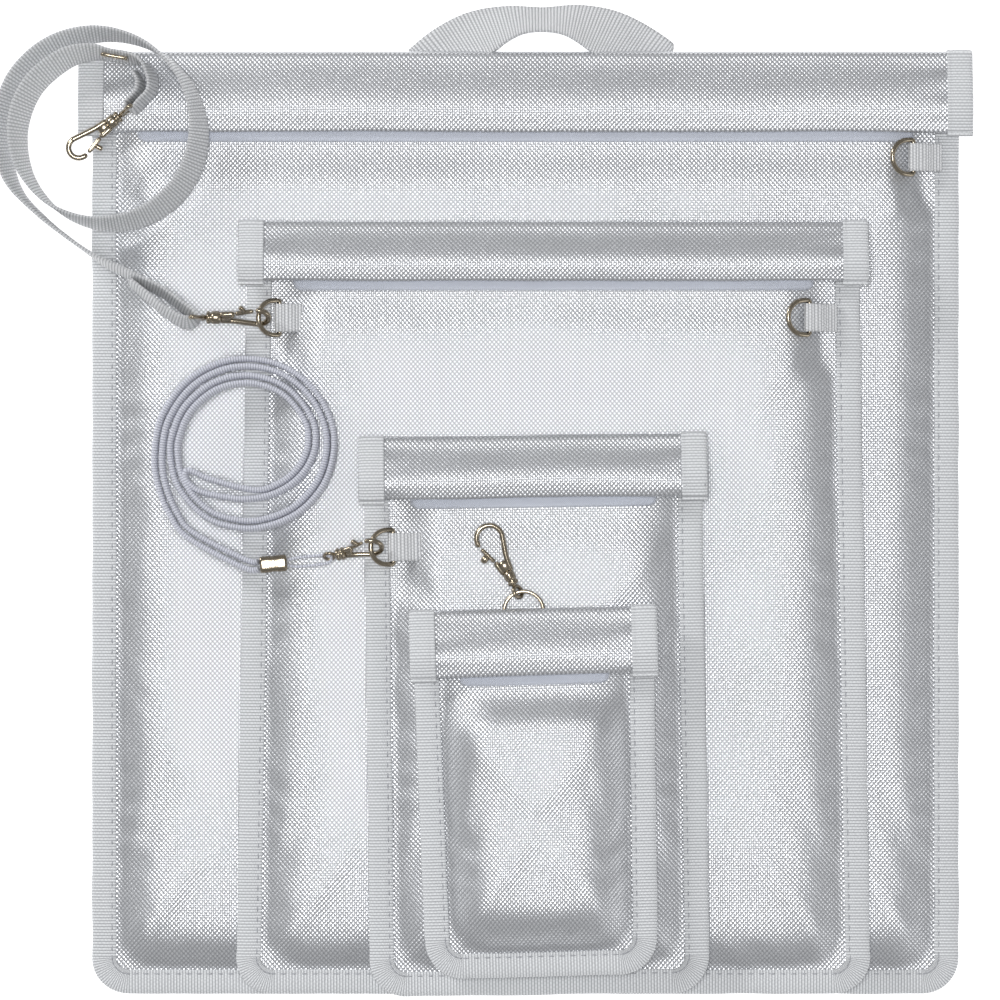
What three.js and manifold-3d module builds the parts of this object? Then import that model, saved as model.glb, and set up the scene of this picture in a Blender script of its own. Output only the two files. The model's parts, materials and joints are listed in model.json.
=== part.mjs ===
// A nested set of four fireproof battery bags, lying flat in a stack with their cords and clips.
// Millimetres, +Z up. The origin is on the ground under the middle of the bags and the carry handle;
// +Y points to the flap end and +X to the side with the spare rings.
import * as THREE from "three";
import { mergeVertices } from "three/addons/utils/BufferGeometryUtils.js";
import Module from "manifold-3d";

const wasm = await Module();
wasm.setup();

// ---------------------------------------------------------------- driving dimensions

const GAP = 0.3; // clearance between pieces that touch
const CLOTH = 0.8; // coated glass-fibre cloth
const BINDING_TAPE = 0.5; // thickness of the folded edge tape
const BINDING_WIDTH = 9.5; // how far the edge tape reaches in over a panel
const FLAP_BINDING_WIDTH = 10;
const CORNER_RADIUS = 14.5; // bottom corners, to the outside of the binding
const SHOULDER = 22; // how far a panel takes to swell from its seam to its crown
const MOUTH_HEIGHT = 7.2; // top of the front panel at the mouth
const FASTENER = 0.6; // thickness of the hook tape and of the loop tape
const FASTENER_WIDTH = 12;
const LOOP_TAPE_SHOWS = 4; // how much of the loop tape lies below the flap's hem
const HEM = 3; // width of the flap's rolled edge

// Each bag hangs its sizes on its fold line, the top edge where the flap turns over.
// "below" is how far its fold line lies below that of the bag under it.
const BAGS = {
  large: {
    length: 365,
    topWidth: 336,
    bottomWidth: 336,
    flapWidth: 346,
    flapLength: 31,
    crown: 10,
    x: 0,
    below: 0,
    turn: 0,
  },
  medium: {
    length: 298,
    topWidth: 236,
    bottomWidth: 245,
    flapWidth: 243,
    flapLength: 22.5,
    crown: 9.5,
    x: 10.7,
    below: 66.3,
    turn: 0,
  },
  small: {
    length: 215,
    topWidth: 130,
    bottomWidth: 131,
    flapWidth: 134,
    flapLength: 23.5,
    crown: 9.5,
    x: 2.6,
    below: 82.6,
    turn: 0.8,
  },
  tiny: {
    length: 141,
    topWidth: 93,
    bottomWidth: 89,
    flapWidth: 95,
    flapLength: 25,
    crown: 13,
    x: 2.6,
    below: 66.4,
    turn: 1.5,
  },
};

const HANDLE = {
  rise: 17.5,
  thickness: 1.3,
  centre: 6,
  footSpan: 104, // over both feet
  topSpan: 46,
  gapSpan: 38, // between the feet
  gapTopSpan: 20,
  gapRise: 9,
  start: 1.2, // how far past the fold line it begins to bend
  tongueEnd: 0.5,
};

const RING = { wire: 1.8, span: 15, arm: 2.6 }; // D-rings
// Webbing loops that hold the rings fit between a ring's arms.
const TAB = { length: 11, width: RING.span - 2 * RING.wire - 2 * GAP };
const SPLIT_RING = { wire: 1.5, span: 16.6 };

const STRAP = { width: 15, thickness: 1.6 };
const STRAP_COIL = { inner: 30, outer: 40.5, height: 13 };
const LANYARD_COIL = { inner: 26, outer: 35.5, height: 5 };
const LANYARD = { width: 6, thickness: 3 };

// Snap hooks, measured from the middle of the nose's round to the neck.
const STRAP_HOOK = {
  nose: 5, // radius over the nose
  wire: 2,
  thick: 2.4,
  shank: 15, // from the nose's middle to the neck
  neck: 2.2, // half the neck's width
  barrel: 2.5, // radius of the swivel barrel
  barrelLength: 5,
  pin: 1,
  knob: 1,
};
const HOOK_LEAN = 1.87; // where a hook's straight sides leave its nose, in radians from the tip
const HOOK_WEB = 3.5; // solid metal between a hook's neck and its hole
const GATE_ROOT = 0.62; // where the gate begins, as a part of the shank
const GATE_TIP = 0.3; // where it ends, as a part of the nose
const GATE_SWING = 0.9; // room for the gate's tip to swing inwards
const KNOB_REACH = 0.72; // where the thumb knob starts, as a part of the nose
const EYE = { wire: 1.8, length: 4.6, neck: 2.2 }; // the frame that takes a flat strap
const CLAW = { ...STRAP_HOOK, nose: 5.2, wire: 1.7, shank: 11, barrelLength: 3 };
const KEY_CLIP = { ...STRAP_HOOK, nose: 6, wire: 1.8, barrel: 2.2, knob: 1.4 };

// ---------------------------------------------------------------- worked out from them

const backBottom = BINDING_TAPE + GAP;
const backTop = backBottom + CLOTH;
const edgeBottom = backTop + GAP;
const edgeTop = edgeBottom + CLOTH;
const slotTop = edgeTop + GAP;
const bindingTop = slotTop + BINDING_TAPE;
const wrap = GAP + BINDING_TAPE; // what a binding adds on each face of the cloth inside it
const loopTapeBottom = MOUTH_HEIGHT + GAP;
const hookTapeBottom = loopTapeBottom + FASTENER + GAP;
const flapBottom = hookTapeBottom + FASTENER + GAP;
const flapTop = flapBottom + CLOTH;
const foldBottom = backTop + GAP + wrap;
const foldRadius = (flapTop - foldBottom) / 2;
const foldHeight = foldBottom + foldRadius;
const mouth = 2 * foldRadius + wrap + 2 * GAP; // the front rim stands this far inside the fold line
const seam = BINDING_WIDTH + GAP;
const foldLine = (BAGS.large.length - HANDLE.rise) / 2;

// Each bag rests on the crown of the one below it.
let stackHeight = 0;
let foldLineY = foldLine;
for (const bag of Object.values(BAGS)) {
  foldLineY -= bag.below;
  bag.y = foldLineY;
  bag.z = stackHeight;
  stackHeight += bag.crown + GAP;
}

const CLOTH_FINISH = new THREE.MeshStandardMaterial({
  color: 0xd3d7de,
  roughness: 0.45,
  metalness: 0.15,
});
const TAPE_FINISH = new THREE.MeshStandardMaterial({ color: 0xc4c8cd, roughness: 0.8 });
const LOOP_FINISH = new THREE.MeshStandardMaterial({ color: 0xd5dcf0, roughness: 0.95 });
const HOOK_FINISH = new THREE.MeshStandardMaterial({ color: 0xdfe2ea, roughness: 0.9 });
const WEBBING_FINISH = new THREE.MeshStandardMaterial({ color: 0xbfc3c9, roughness: 0.85 });
const LANYARD_FINISH = new THREE.MeshStandardMaterial({ color: 0xaeb2c4, roughness: 0.85 });
const METAL_FINISH = new THREE.MeshStandardMaterial({
  color: 0xb9a888,
  roughness: 0.25,
  metalness: 1,
});

// ---------------------------------------------------------------- helpers

function solid(geometry) {
  const bare = geometry.index ? geometry.toNonIndexed() : geometry.clone();
  bare.deleteAttribute("normal");
  bare.deleteAttribute("uv");
  const merged = mergeVertices(bare, 1e-4);
  return new wasm.Manifold(
    new wasm.Mesh({
      numProp: 3,
      vertProperties: merged.attributes.position.array,
      triVerts: new Uint32Array(merged.index.array),
    }),
  );
}

function geometryOf(body) {
  const made = body.getMesh();
  const geometry = new THREE.BufferGeometry();
  const points = new THREE.BufferAttribute(new Float32Array(made.vertProperties), 3);
  geometry.setAttribute("position", points);
  geometry.setIndex(new THREE.BufferAttribute(new Uint32Array(made.triVerts), 1));
  const faceted = geometry.toNonIndexed();
  faceted.computeVertexNormals();
  return faceted;
}

function add(parent, name, body, material) {
  const mesh = new THREE.Mesh(geometryOf(body), material);
  mesh.name = name;
  parent.add(mesh);
  return mesh;
}

const union = (bodies) => bodies.reduce((a, b) => a.add(b));

// A flat outline in XY given thickness from z0 to z1.
function slab(shape, z0, z1) {
  const options = { depth: z1 - z0, bevelEnabled: false, curveSegments: 4 };
  return solid(new THREE.ExtrudeGeometry(shape, options).translate(0, 0, z0));
}

// A profile drawn in YZ, drawn out along X from x0 to x1.
function drawnAlongX(shape, x0, x1) {
  const options = { depth: x1 - x0, bevelEnabled: false, curveSegments: 5 };
  const geometry = new THREE.ExtrudeGeometry(shape, options);
  const turn = new THREE.Matrix4().makeBasis(
    new THREE.Vector3(0, 1, 0),
    new THREE.Vector3(0, 0, 1),
    new THREE.Vector3(1, 0, 0),
  );
  return solid(geometry.applyMatrix4(turn).translate(x0, 0, 0));
}

function block(x0, x1, y0, y1, z0, z1) {
  const geometry = new THREE.BoxGeometry(x1 - x0, y1 - y0, z1 - z0);
  return solid(geometry.translate((x0 + x1) / 2, (y0 + y1) / 2, (z0 + z1) / 2));
}

// A round-ended bar between two points.
function bar(from, to, radius) {
  const a = new THREE.Vector3(...from);
  const b = new THREE.Vector3(...to);
  const length = a.distanceTo(b);
  const geometry = new THREE.CapsuleGeometry(radius, length, 1, 6);
  const turn = new THREE.Quaternion().setFromUnitVectors(
    new THREE.Vector3(0, 1, 0),
    b.clone().sub(a).normalize(),
  );
  geometry.applyQuaternion(turn);
  const middle = a.add(b).multiplyScalar(0.5);
  return solid(geometry.translate(middle.x, middle.y, middle.z));
}

// A cylinder whose axis is X.
function rod(x0, x1, radius, sides = 12) {
  const geometry = new THREE.CylinderGeometry(radius, radius, x1 - x0, sides);
  return solid(geometry.rotateZ(Math.PI / 2).translate((x0 + x1) / 2, 0, 0));
}

function torus(radius, wire, around = 20) {
  return solid(new THREE.TorusGeometry(radius, wire / 2, 6, around));
}

const ease = (t) => {
  const u = THREE.MathUtils.clamp(t, 0, 1);
  return u * u * (3 - 2 * u);
};

// ---------------------------------------------------------------- one bag

// Half the bag's width at a height y, which is 0 at the fold line and negative below it.
function halfWidth(bag, y) {
  return THREE.MathUtils.lerp(bag.topWidth, bag.bottomWidth, -y / bag.length) / 2;
}

// The bag's outline moved in by inset, from its bottom edge up to y1.
function outline(bag, inset, y1) {
  const bottom = -bag.length + inset;
  const radius = CORNER_RADIUS - inset;
  const low = halfWidth(bag, -bag.length) - inset;
  const high = halfWidth(bag, y1) - inset;
  const shape = new THREE.Shape();
  shape.moveTo(-high, y1);
  shape.lineTo(-low, bottom + radius);
  shape.absarc(-low + radius, bottom + radius, radius, Math.PI, 1.5 * Math.PI, false);
  shape.absarc(low - radius, bottom + radius, radius, 1.5 * Math.PI, 2 * Math.PI, false);
  shape.lineTo(high, y1);
  shape.closePath();
  return shape;
}

// Height of the front panel's upper face: low at the seams, full over the pocket,
// and a little lower again under the flap.
function panelTop(bag, x, y) {
  const fromSide = halfWidth(bag, y) - Math.abs(x) - seam;
  const fromBottom = y + bag.length - seam;
  const dip = ease((y + bag.flapLength + SHOULDER) / (SHOULDER - LOOP_TAPE_SHOWS - 1));
  const crown = THREE.MathUtils.lerp(bag.crown, MOUTH_HEIGHT, dip);
  return edgeTop + (crown - edgeTop) * ease(fromSide / SHOULDER) * ease(fromBottom / SHOULDER);
}

// Distances from a seamed edge at which the panel is divided.
const seamSteps = [0, seam, ...[0.2, 0.45, 0.7, 1].map((part) => seam + part * SHOULDER)];

function frontPanel(bag) {
  const rim = -mouth;
  const tapeLine = -bag.flapLength - LOOP_TAPE_SHOWS - 1;
  const dipLine = -bag.flapLength - SHOULDER;
  const rows = [
    ...seamSteps.map((step) => step - bag.length),
    -(bag.length - dipLine) / 2 + SHOULDER,
    dipLine,
    (2 * dipLine + tapeLine) / 3,
    (dipLine + 2 * tapeLine) / 3,
    tapeLine,
    rim,
  ].sort((a, b) => a - b);
  const columns = [...seamSteps, null, ...seamSteps.toReversed()];
  const across = columns.length - 1;
  const along = rows.length - 1;
  const geometry = new THREE.BoxGeometry(across, along, 1, across, along, 1);
  const place = geometry.attributes.position;
  for (let i = 0; i < place.count; i++) {
    const column = Math.round(place.getX(i) + across / 2);
    const y = rows[Math.round(place.getY(i) + along / 2)];
    const side = Math.sign(column - across / 2);
    const x = columns[column] === null ? 0 : side * (halfWidth(bag, y) - columns[column]);
    const top = panelTop(bag, x, y);
    place.setXYZ(i, x, y, place.getZ(i) > 0 ? top : top - CLOTH);
  }
  return solid(geometry).intersect(slab(outline(bag, wrap, rim), 0, bag.crown + CLOTH));
}

function edgeBinding(bag) {
  const end = -mouth;
  const whole = slab(outline(bag, 0, end), 0, bindingTop);
  const window = slab(outline(bag, BINDING_WIDTH, end + 1), -1, bindingTop + 1);
  const slot = slab(outline(bag, BINDING_TAPE, end + 1), BINDING_TAPE, slotTop);
  return whole.subtract(window).subtract(slot);
}

const FOLD_START = -1.4; // where the flap leaves the back panel, as an angle round the fold

// The flap's section in YZ: round the fold and flat down to the hem, grown by "grow" all round.
function flapSection(bag, grow, start = FOLD_START) {
  const outer = foldRadius + grow;
  const inner = foldRadius - CLOTH - grow;
  const shape = new THREE.Shape();
  shape.absarc(-foldRadius, foldHeight, outer, start, Math.PI / 2, false);
  shape.lineTo(-bag.flapLength - grow, flapTop + grow);
  shape.lineTo(-bag.flapLength - grow, flapBottom - grow);
  shape.absarc(-foldRadius, foldHeight, inner, Math.PI / 2, start, true);
  shape.closePath();
  return shape;
}

function flapBinding(bag, side) {
  const edge = bag.flapWidth / 2;
  const whole = drawnAlongX(flapSection(bag, wrap), edge - FLAP_BINDING_WIDTH, edge);
  const slot = drawnAlongX(
    flapSection(bag, GAP, FOLD_START - 0.1),
    edge - FLAP_BINDING_WIDTH - 1,
    edge - BINDING_TAPE,
  );
  const right = whole.subtract(slot);
  return side > 0 ? right : right.mirror([1, 0, 0]);
}

function flap(bag) {
  const edge = bag.flapWidth / 2 - wrap;
  const hemEdge = bag.flapWidth / 2 - FLAP_BINDING_WIDTH - GAP;
  const plain = drawnAlongX(flapSection(bag, 0), -edge, edge);
  const hem = block(
    -hemEdge,
    hemEdge,
    -bag.flapLength,
    -bag.flapLength + HEM,
    flapBottom - CLOTH,
    flapTop - GAP,
  );
  return plain.add(hem);
}

function backPanel(bag) {
  return slab(outline(bag, wrap, 0), backBottom, backTop);
}

// The pieces of one bag. Returns its group, and the flap's own group that turns about the fold.
function makeBag(name, bag) {
  const group = new THREE.Group();
  group.position.set(bag.x, bag.y, bag.z);
  group.rotation.z = THREE.MathUtils.degToRad(bag.turn);
  const tapeEdge = halfWidth(bag, -mouth) - seam - SHOULDER + GAP;
  const loopStart = -bag.flapLength - LOOP_TAPE_SHOWS;
  const hookStart = -bag.flapLength + HEM + GAP;
  const tape = (start, bottom, width) =>
    block(-tapeEdge, tapeEdge, start, start + width, bottom, bottom + FASTENER);

  add(group, name + "_front_panel", frontPanel(bag), CLOTH_FINISH);
  add(group, name + "_edge_binding", edgeBinding(bag), TAPE_FINISH);
  add(group, name + "_loop_tape", tape(loopStart, loopTapeBottom, FASTENER_WIDTH), LOOP_FINISH);
  add(group, name + "_flap", flap(bag), CLOTH_FINISH);
  add(group, name + "_hook_tape", tape(hookStart, hookTapeBottom, FASTENER_WIDTH), HOOK_FINISH);
  add(group, name + "_flap_binding_left", flapBinding(bag, -1), TAPE_FINISH);
  add(group, name + "_flap_binding_right", flapBinding(bag, 1), TAPE_FINISH);
  return group;
}

// ---------------------------------------------------------------- rings, tabs and hooks

// A webbing tab folded round a ring's bar, with the bar's axis along Y through the origin
// and the sewn end at +X.
function tabBody(length, width, wire) {
  const hole = wire / 2 + GAP;
  const outer = hole + CLOTH;
  const doubled = 2 * CLOTH + GAP / 2;
  const shape = new THREE.Shape();
  shape.moveTo(0, -outer);
  shape.lineTo(length, -outer);
  shape.lineTo(length, -outer + doubled);
  shape.lineTo(outer, -outer + doubled);
  shape.absarc(0, 0, outer, 0, 1.5 * Math.PI, false);
  shape.closePath();
  const bore = new THREE.Path();
  bore.absarc(0, 0, hole, 0, 2 * Math.PI, true);
  shape.holes.push(bore);
  const options = { depth: width, bevelEnabled: false, curveSegments: 5 };
  const geometry = new THREE.ExtrudeGeometry(shape, options);
  return solid(geometry.rotateX(Math.PI / 2).translate(0, width / 2, 0));
}

const ringRadius = (RING.span - RING.wire) / 2;
const ringReach = RING.arm + ringRadius; // from the bar's axis to the far wire's middle

// A D-ring lying in XY, its bar on the Y axis and its bow towards -X.
function ringBody() {
  const wire = RING.wire / 2;
  const bow = torus(ringRadius, RING.wire).translate([-RING.arm, 0, 0]);
  const cut = block(-RING.arm, ringRadius + 5, -20, 20, -5, 5);
  return union([
    bow.subtract(cut),
    bar([-RING.arm, -ringRadius, 0], [0, -ringRadius, 0], wire),
    bar([-RING.arm, ringRadius, 0], [0, ringRadius, 0], wire),
    bar([0, -ringRadius, 0], [0, ringRadius, 0], wire),
  ]);
}

const tabDrop = RING.wire / 2 + GAP + CLOTH; // from the bar's axis to the underside of its tab

// A tab and its ring on a bag's front panel. "inset" is the bar's distance in from the side,
// "reach" the direction of the sewn end seen from the bar, "lift" the ring's tilt in degrees.
function ringOnPanel(group, bag, name, side, inset, below, lift) {
  const y = -below;
  const x = side * (halfWidth(bag, y) - inset);
  const sewn = x + TAB.length;
  const surface = (at) => {
    const heights = [-1, 0, 1].map((part) => panelTop(bag, at, y + (part * TAB.width) / 2));
    const overBinding = Math.abs(at) > halfWidth(bag, y) - BINDING_WIDTH - 1;
    return Math.max(...heights, overBinding ? bindingTop : 0) + GAP;
  };
  const high = Math.max(surface(x), surface(x - tabDrop)) + tabDrop;
  const slope = Math.atan2(high - tabDrop - surface(sewn), TAB.length);
  const mount = new THREE.Group();
  mount.position.set(x, y, high);
  group.add(mount);
  const tab = add(mount, name + "_tab", tabBody(TAB.length, TAB.width, RING.wire), WEBBING_FINISH);
  tab.rotation.y = slope;
  const ring = add(mount, name + "_ring", ringBody(), METAL_FINISH);
  ring.rotation.y = THREE.MathUtils.degToRad(lift);
  return ring;
}

// The loop of a snap hook, its nose towards +X and centred on the origin, and its neck towards -X.
function hookLoop(size, shrink) {
  const outer = size.nose - shrink;
  const shape = new THREE.Shape();
  shape.moveTo(-size.shank, -size.neck + shrink);
  shape.absarc(0, 0, outer, -HOOK_LEAN, HOOK_LEAN, false);
  shape.lineTo(-size.shank, size.neck - shrink);
  shape.closePath();
  return shape;
}

function hookHole(size) {
  const shape = new THREE.Shape();
  shape.moveTo(-size.shank + HOOK_WEB, -size.neck / 4);
  shape.absarc(0, 0, size.nose - size.wire, -HOOK_LEAN, HOOK_LEAN, false);
  shape.lineTo(-size.shank + HOOK_WEB, size.neck / 4);
  shape.closePath();
  return shape;
}

// The stretch of a hook's upper side that its gate takes up.
function gateWay(size, root, tip, low) {
  return block(root, tip, low, size.nose + 2, -size.thick, size.thick);
}

const gateRoot = (size) => -size.shank * GATE_ROOT;
const gateTip = (size) => -size.nose * GATE_TIP;
const gateLow = 0.6; // above the hook's middle line

function hookBody(size, eye) {
  const half = size.thick / 2;
  const loop = slab(hookLoop(size, 0), -half, half);
  const hole = slab(hookHole(size), -size.thick, size.thick);
  const way = gateWay(size, gateRoot(size), gateTip(size), gateLow);
  const back = -size.shank - size.barrelLength;
  const barrel = rod(back, -size.shank + 0.8, size.barrel);
  const pieces = [loop.subtract(hole).subtract(way), barrel];
  if (eye) return union([...pieces, eye]);
  return union(pieces).subtract(rod(back - 1, -size.shank, size.pin + GAP));
}

// The sprung gate: the missing side of the loop, with a thumb knob.
function hookGate(size) {
  const half = size.thick / 2 - GAP;
  const from = gateRoot(size) + GAP;
  const to = gateTip(size) - GATE_SWING;
  const side = slab(hookLoop(size, GAP), -half, half)
    .subtract(slab(hookHole(size), -size.thick, size.thick))
    .intersect(gateWay(size, from, to, gateLow + GAP));
  const middle = (from + to) / 2;
  const reach = size.nose * KNOB_REACH;
  const knob = bar([middle, reach, 0], [middle - 1.5, reach + 2.6, 0], size.knob);
  return side.add(knob);
}

// A frame for a flat strap, on a pin that turns in the hook's barrel.
function strapEye(size) {
  const wire = EYE.wire / 2;
  const back = -size.shank - size.barrelLength;
  const near = back - GAP - wire;
  const far = near - EYE.length;
  const wide = (STRAP.width + EYE.wire) / 2;
  return union([
    bar([far, -wide, 0], [far, wide, 0], wire),
    bar([far, wide, 0], [near, EYE.neck, 0], wire),
    bar([far, -wide, 0], [near, -EYE.neck, 0], wire),
    bar([near, -EYE.neck, 0], [near, EYE.neck, 0], wire),
    rod(near, -size.shank - GAP, size.pin, 8),
  ]);
}

// A small round eye on a pin.
function roundEye(size, radius, wire) {
  const back = -size.shank - size.barrelLength;
  const near = back - GAP - wire / 2;
  return union([
    torus(radius, wire, 16).translate([near - radius, 0, 0]),
    rod(near - wire / 4, -size.shank - GAP, size.pin, 8),
  ]);
}

const degrees = THREE.MathUtils.degToRad;

// A hook group at a place, pointing along a heading in XY, nose up by rise, rolled about itself.
function hookGroup(parent, place, heading, roll, rise = 0) {
  const holder = new THREE.Group();
  holder.position.set(...place);
  holder.rotation.set(0, -degrees(rise), degrees(heading), "ZYX");
  parent.add(holder);
  const rolled = new THREE.Group();
  rolled.rotation.x = degrees(roll);
  holder.add(rolled);
  return rolled;
}

// ---------------------------------------------------------------- assembly

const set = new THREE.Group();
const groups = {};
for (const [name, bag] of Object.entries(BAGS)) {
  groups[name] = makeBag(name, bag);
  set.add(groups[name]);
}
for (const name of ["medium", "small"])
  add(groups[name], name + "_back_panel", backPanel(BAGS[name]), CLOTH_FINISH);

// The large bag's back panel has two tongues that carry the handle's feet.
const footWidth = (HANDLE.footSpan - HANDLE.gapSpan) / 2;
const feet = [-1, 1].map((side) => {
  const middle = HANDLE.centre + (side * (HANDLE.gapSpan + footWidth)) / 2;
  return block(
    middle - footWidth / 2 + 2,
    middle + footWidth / 2 - 2,
    -5,
    HANDLE.tongueEnd,
    backBottom,
    backTop,
  );
});
add(groups.large, "large_back_panel", union([backPanel(BAGS.large), ...feet]), CLOTH_FINISH);

function handleBody() {
  const { start, rise, gapRise } = HANDLE;
  const half = (span) => span / 2;
  const arch = new THREE.Shape();
  arch.moveTo(-half(HANDLE.footSpan), start);
  arch.quadraticCurveTo(-half(HANDLE.topSpan) - 8, rise, -half(HANDLE.topSpan) + 6, rise);
  arch.lineTo(half(HANDLE.topSpan) - 6, rise);
  arch.quadraticCurveTo(half(HANDLE.topSpan) + 8, rise, half(HANDLE.footSpan), start);
  arch.lineTo(half(HANDLE.gapSpan), start);
  arch.quadraticCurveTo(half(HANDLE.gapTopSpan), gapRise, half(HANDLE.gapTopSpan) - 4, gapRise);
  arch.lineTo(-half(HANDLE.gapTopSpan) + 4, gapRise);
  arch.quadraticCurveTo(-half(HANDLE.gapTopSpan), gapRise, -half(HANDLE.gapSpan), start);
  arch.closePath();
  return slab(arch, GAP, GAP + HANDLE.thickness).translate([HANDLE.centre, 0, 0]);
}
add(groups.large, "large_handle", handleBody(), WEBBING_FINISH);

// The tiny bag's back panel is notched where its split ring lies under the fold.
const splitRadius = (SPLIT_RING.span - SPLIT_RING.wire) / 2;
const KEY_RING = { x: -3.4, y: -0.7, tilt: 3, notch: 24 };
const ringLow = KEY_RING.y - splitRadius; // middle of the wire where the tab holds it
const keyTab = { width: 4, length: 8, wall: 0.35 };
const notchDepth = -ringLow + keyTab.length + 1;
const notch = block(
  KEY_RING.x - KEY_RING.notch / 2,
  KEY_RING.x + KEY_RING.notch / 2,
  -notchDepth,
  1,
  0,
  backTop + 1,
);
add(groups.tiny, "tiny_back_panel", backPanel(BAGS.tiny).subtract(notch), CLOTH_FINISH);

// A tab under the tiny bag's fold, folded round the low side of the split ring.
const keyTabHole = SPLIT_RING.wire / 2 + GAP + 0.05;
const keyTabOuter = keyTabHole + keyTab.wall;
const tabUnder = new THREE.Group();
tabUnder.position.set(KEY_RING.x, ringLow, keyTabOuter);
groups.tiny.add(tabUnder);
const keyTabSection = new THREE.Shape();
keyTabSection.absarc(0, 0, keyTabOuter, 0, 2 * Math.PI, false);
const keyTabBore = new THREE.Path();
keyTabBore.absarc(0, 0, keyTabHole, 0, 2 * Math.PI, true);
keyTabSection.holes.push(keyTabBore);
const keyTabFoot = block(
  -keyTab.width / 2,
  keyTab.width / 2,
  -keyTab.length,
  -keyTabHole - 0.1,
  -0.45,
  0.15,
);
const keyTabLoop = drawnAlongX(keyTabSection, -keyTab.width / 2, keyTab.width / 2);
add(tabUnder, "tiny_ring_tab", keyTabLoop.add(keyTabFoot), WEBBING_FINISH);

const splitBody = torus(splitRadius, SPLIT_RING.wire).translate([0, splitRadius, 0]);
const splitRing = add(tabUnder, "tiny_split_ring", splitBody, METAL_FINISH);
splitRing.rotation.x = degrees(KEY_RING.tilt);

// The free rings on the right, and the two on the left that carry the cords.
ringOnPanel(groups.large, BAGS.large, "large_right", 1, 18, 41, 26);
ringOnPanel(groups.medium, BAGS.medium, "medium_right", 1, 20, 37, 26);
const strapRing = ringOnPanel(groups.medium, BAGS.medium, "medium_left", -1, 13, 37, 30);
const lanyardRing = ringOnPanel(groups.small, BAGS.small, "small_left", -1, 11, 42, 22);
set.updateMatrixWorld(true);
const bowOf = (ring) => ring.localToWorld(new THREE.Vector3(-ringReach, 0, 0));

// Strap hook on the medium bag's ring.
const strapRoll = 50;
const strapBow = bowOf(strapRing);
const hookA = hookGroup(set, strapBow.toArray(), 0, strapRoll);
add(hookA, "strap_hook_body", hookBody(STRAP_HOOK), METAL_FINISH);
add(hookA, "strap_hook_gate", hookGate(STRAP_HOOK), METAL_FINISH);
const eyeA = add(hookA, "strap_hook_eye", strapEye(STRAP_HOOK), METAL_FINISH);
// The eye stands upright, or leans if a wide strap would not let it clear the bag below.
const eyeRoom = strapBow.z - BAGS.large.crown - 2 * GAP - EYE.wire / 2;
const eyeLean = Math.acos(Math.min(1, (2 * eyeRoom) / (STRAP.width + EYE.wire)));
eyeA.rotation.x = degrees(90 - strapRoll) + eyeLean;

// Shoulder strap: a loose coil over the large bag's top left corner, and the stretch to the hook.
const coilCentre = [-BAGS.large.flapWidth / 2 + 10, BAGS.large.y - BAGS.large.flapLength];
const coilBottom = flapTop + wrap + GAP;
const COIL_SIDES = 36;
function ringSolid(size) {
  const profile = [
    [size.inner, 0],
    [size.outer, 0],
    [size.outer, size.height],
    [size.inner, size.height],
    [size.inner, 0],
  ].map(([x, y]) => new THREE.Vector2(x, y));
  return solid(new THREE.LatheGeometry(profile, COIL_SIDES).rotateX(Math.PI / 2));
}

const eyeReach = STRAP_HOOK.shank + STRAP_HOOK.barrelLength + GAP + EYE.length + EYE.wire;
const looseHeading = 218;
const loosePlace = [coilCentre[0] - 9, coilCentre[1] - 7, coilBottom + STRAP.width / 2 + 1.9];
const hookB = hookGroup(set, loosePlace, looseHeading, 0);
add(hookB, "loose_hook_body", hookBody(STRAP_HOOK), METAL_FINISH);
add(hookB, "loose_hook_gate", hookGate(STRAP_HOOK), METAL_FINISH);
const eyeB = add(hookB, "loose_hook_eye", strapEye(STRAP_HOOK), METAL_FINISH);
eyeB.rotation.x = degrees(90);

const looseDirection = new THREE.Vector2(1, 0).rotateAround(
  new THREE.Vector2(),
  degrees(looseHeading),
);
const eyeEnd = looseDirection.clone().multiplyScalar(-eyeReach - GAP);
const tongueStart = [loosePlace[0] + eyeEnd.x, loosePlace[1] + eyeEnd.y];
const coil = new THREE.Group();
coil.position.set(coilCentre[0], coilCentre[1], coilBottom);
set.add(coil);
const tongueLength = 16; // the strap's end, doubled round the loose hook's eye
const tongue = block(0, tongueLength, -STRAP.thickness, STRAP.thickness, 0, STRAP_COIL.height)
  .rotate([0, 0, looseHeading + 180])
  .translate([tongueStart[0] - coilCentre[0], tongueStart[1] - coilCentre[1], 0]);
const tongueLimit = STRAP_COIL.outer - 2;
const withinCoil = new THREE.CylinderGeometry(tongueLimit, tongueLimit, 60, COIL_SIDES);
const tongueInside = tongue.intersect(solid(withinCoil.rotateX(Math.PI / 2)));
add(coil, "strap_coil", ringSolid(STRAP_COIL).add(tongueInside), WEBBING_FINISH);

// The slide: a ladder of wire on the strap, against the inside of the coil.
const slide = new THREE.Group();
const slideAngle = degrees(80);
const SLIDE = { length: 9, height: STRAP.width, wire: 1.6 };
const slideRadius = STRAP_COIL.inner - GAP - 1.4;
slide.position.set(
  coilCentre[0] + slideRadius * Math.cos(slideAngle),
  coilCentre[1] + slideRadius * Math.sin(slideAngle),
  coilBottom + (SLIDE.height + SLIDE.wire) / 2 + 0.1,
);
slide.rotation.z = slideAngle + Math.PI / 2;
set.add(slide);
const slideWire = (x0, z0, x1, z1) => {
  const [halfLength, halfHeight] = [SLIDE.length / 2, SLIDE.height / 2];
  const from = [x0 * halfLength, 0, z0 * halfHeight];
  return bar(from, [x1 * halfLength, 0, z1 * halfHeight], SLIDE.wire / 2);
};
const slideBars = [-1, 0, 1].map((part) => slideWire(part, -1, part, 1));
const slideRails = [-1, 1].map((part) => slideWire(-1, part, 1, part));
add(slide, "strap_slide", union([...slideBars, ...slideRails]), METAL_FINISH);

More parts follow.
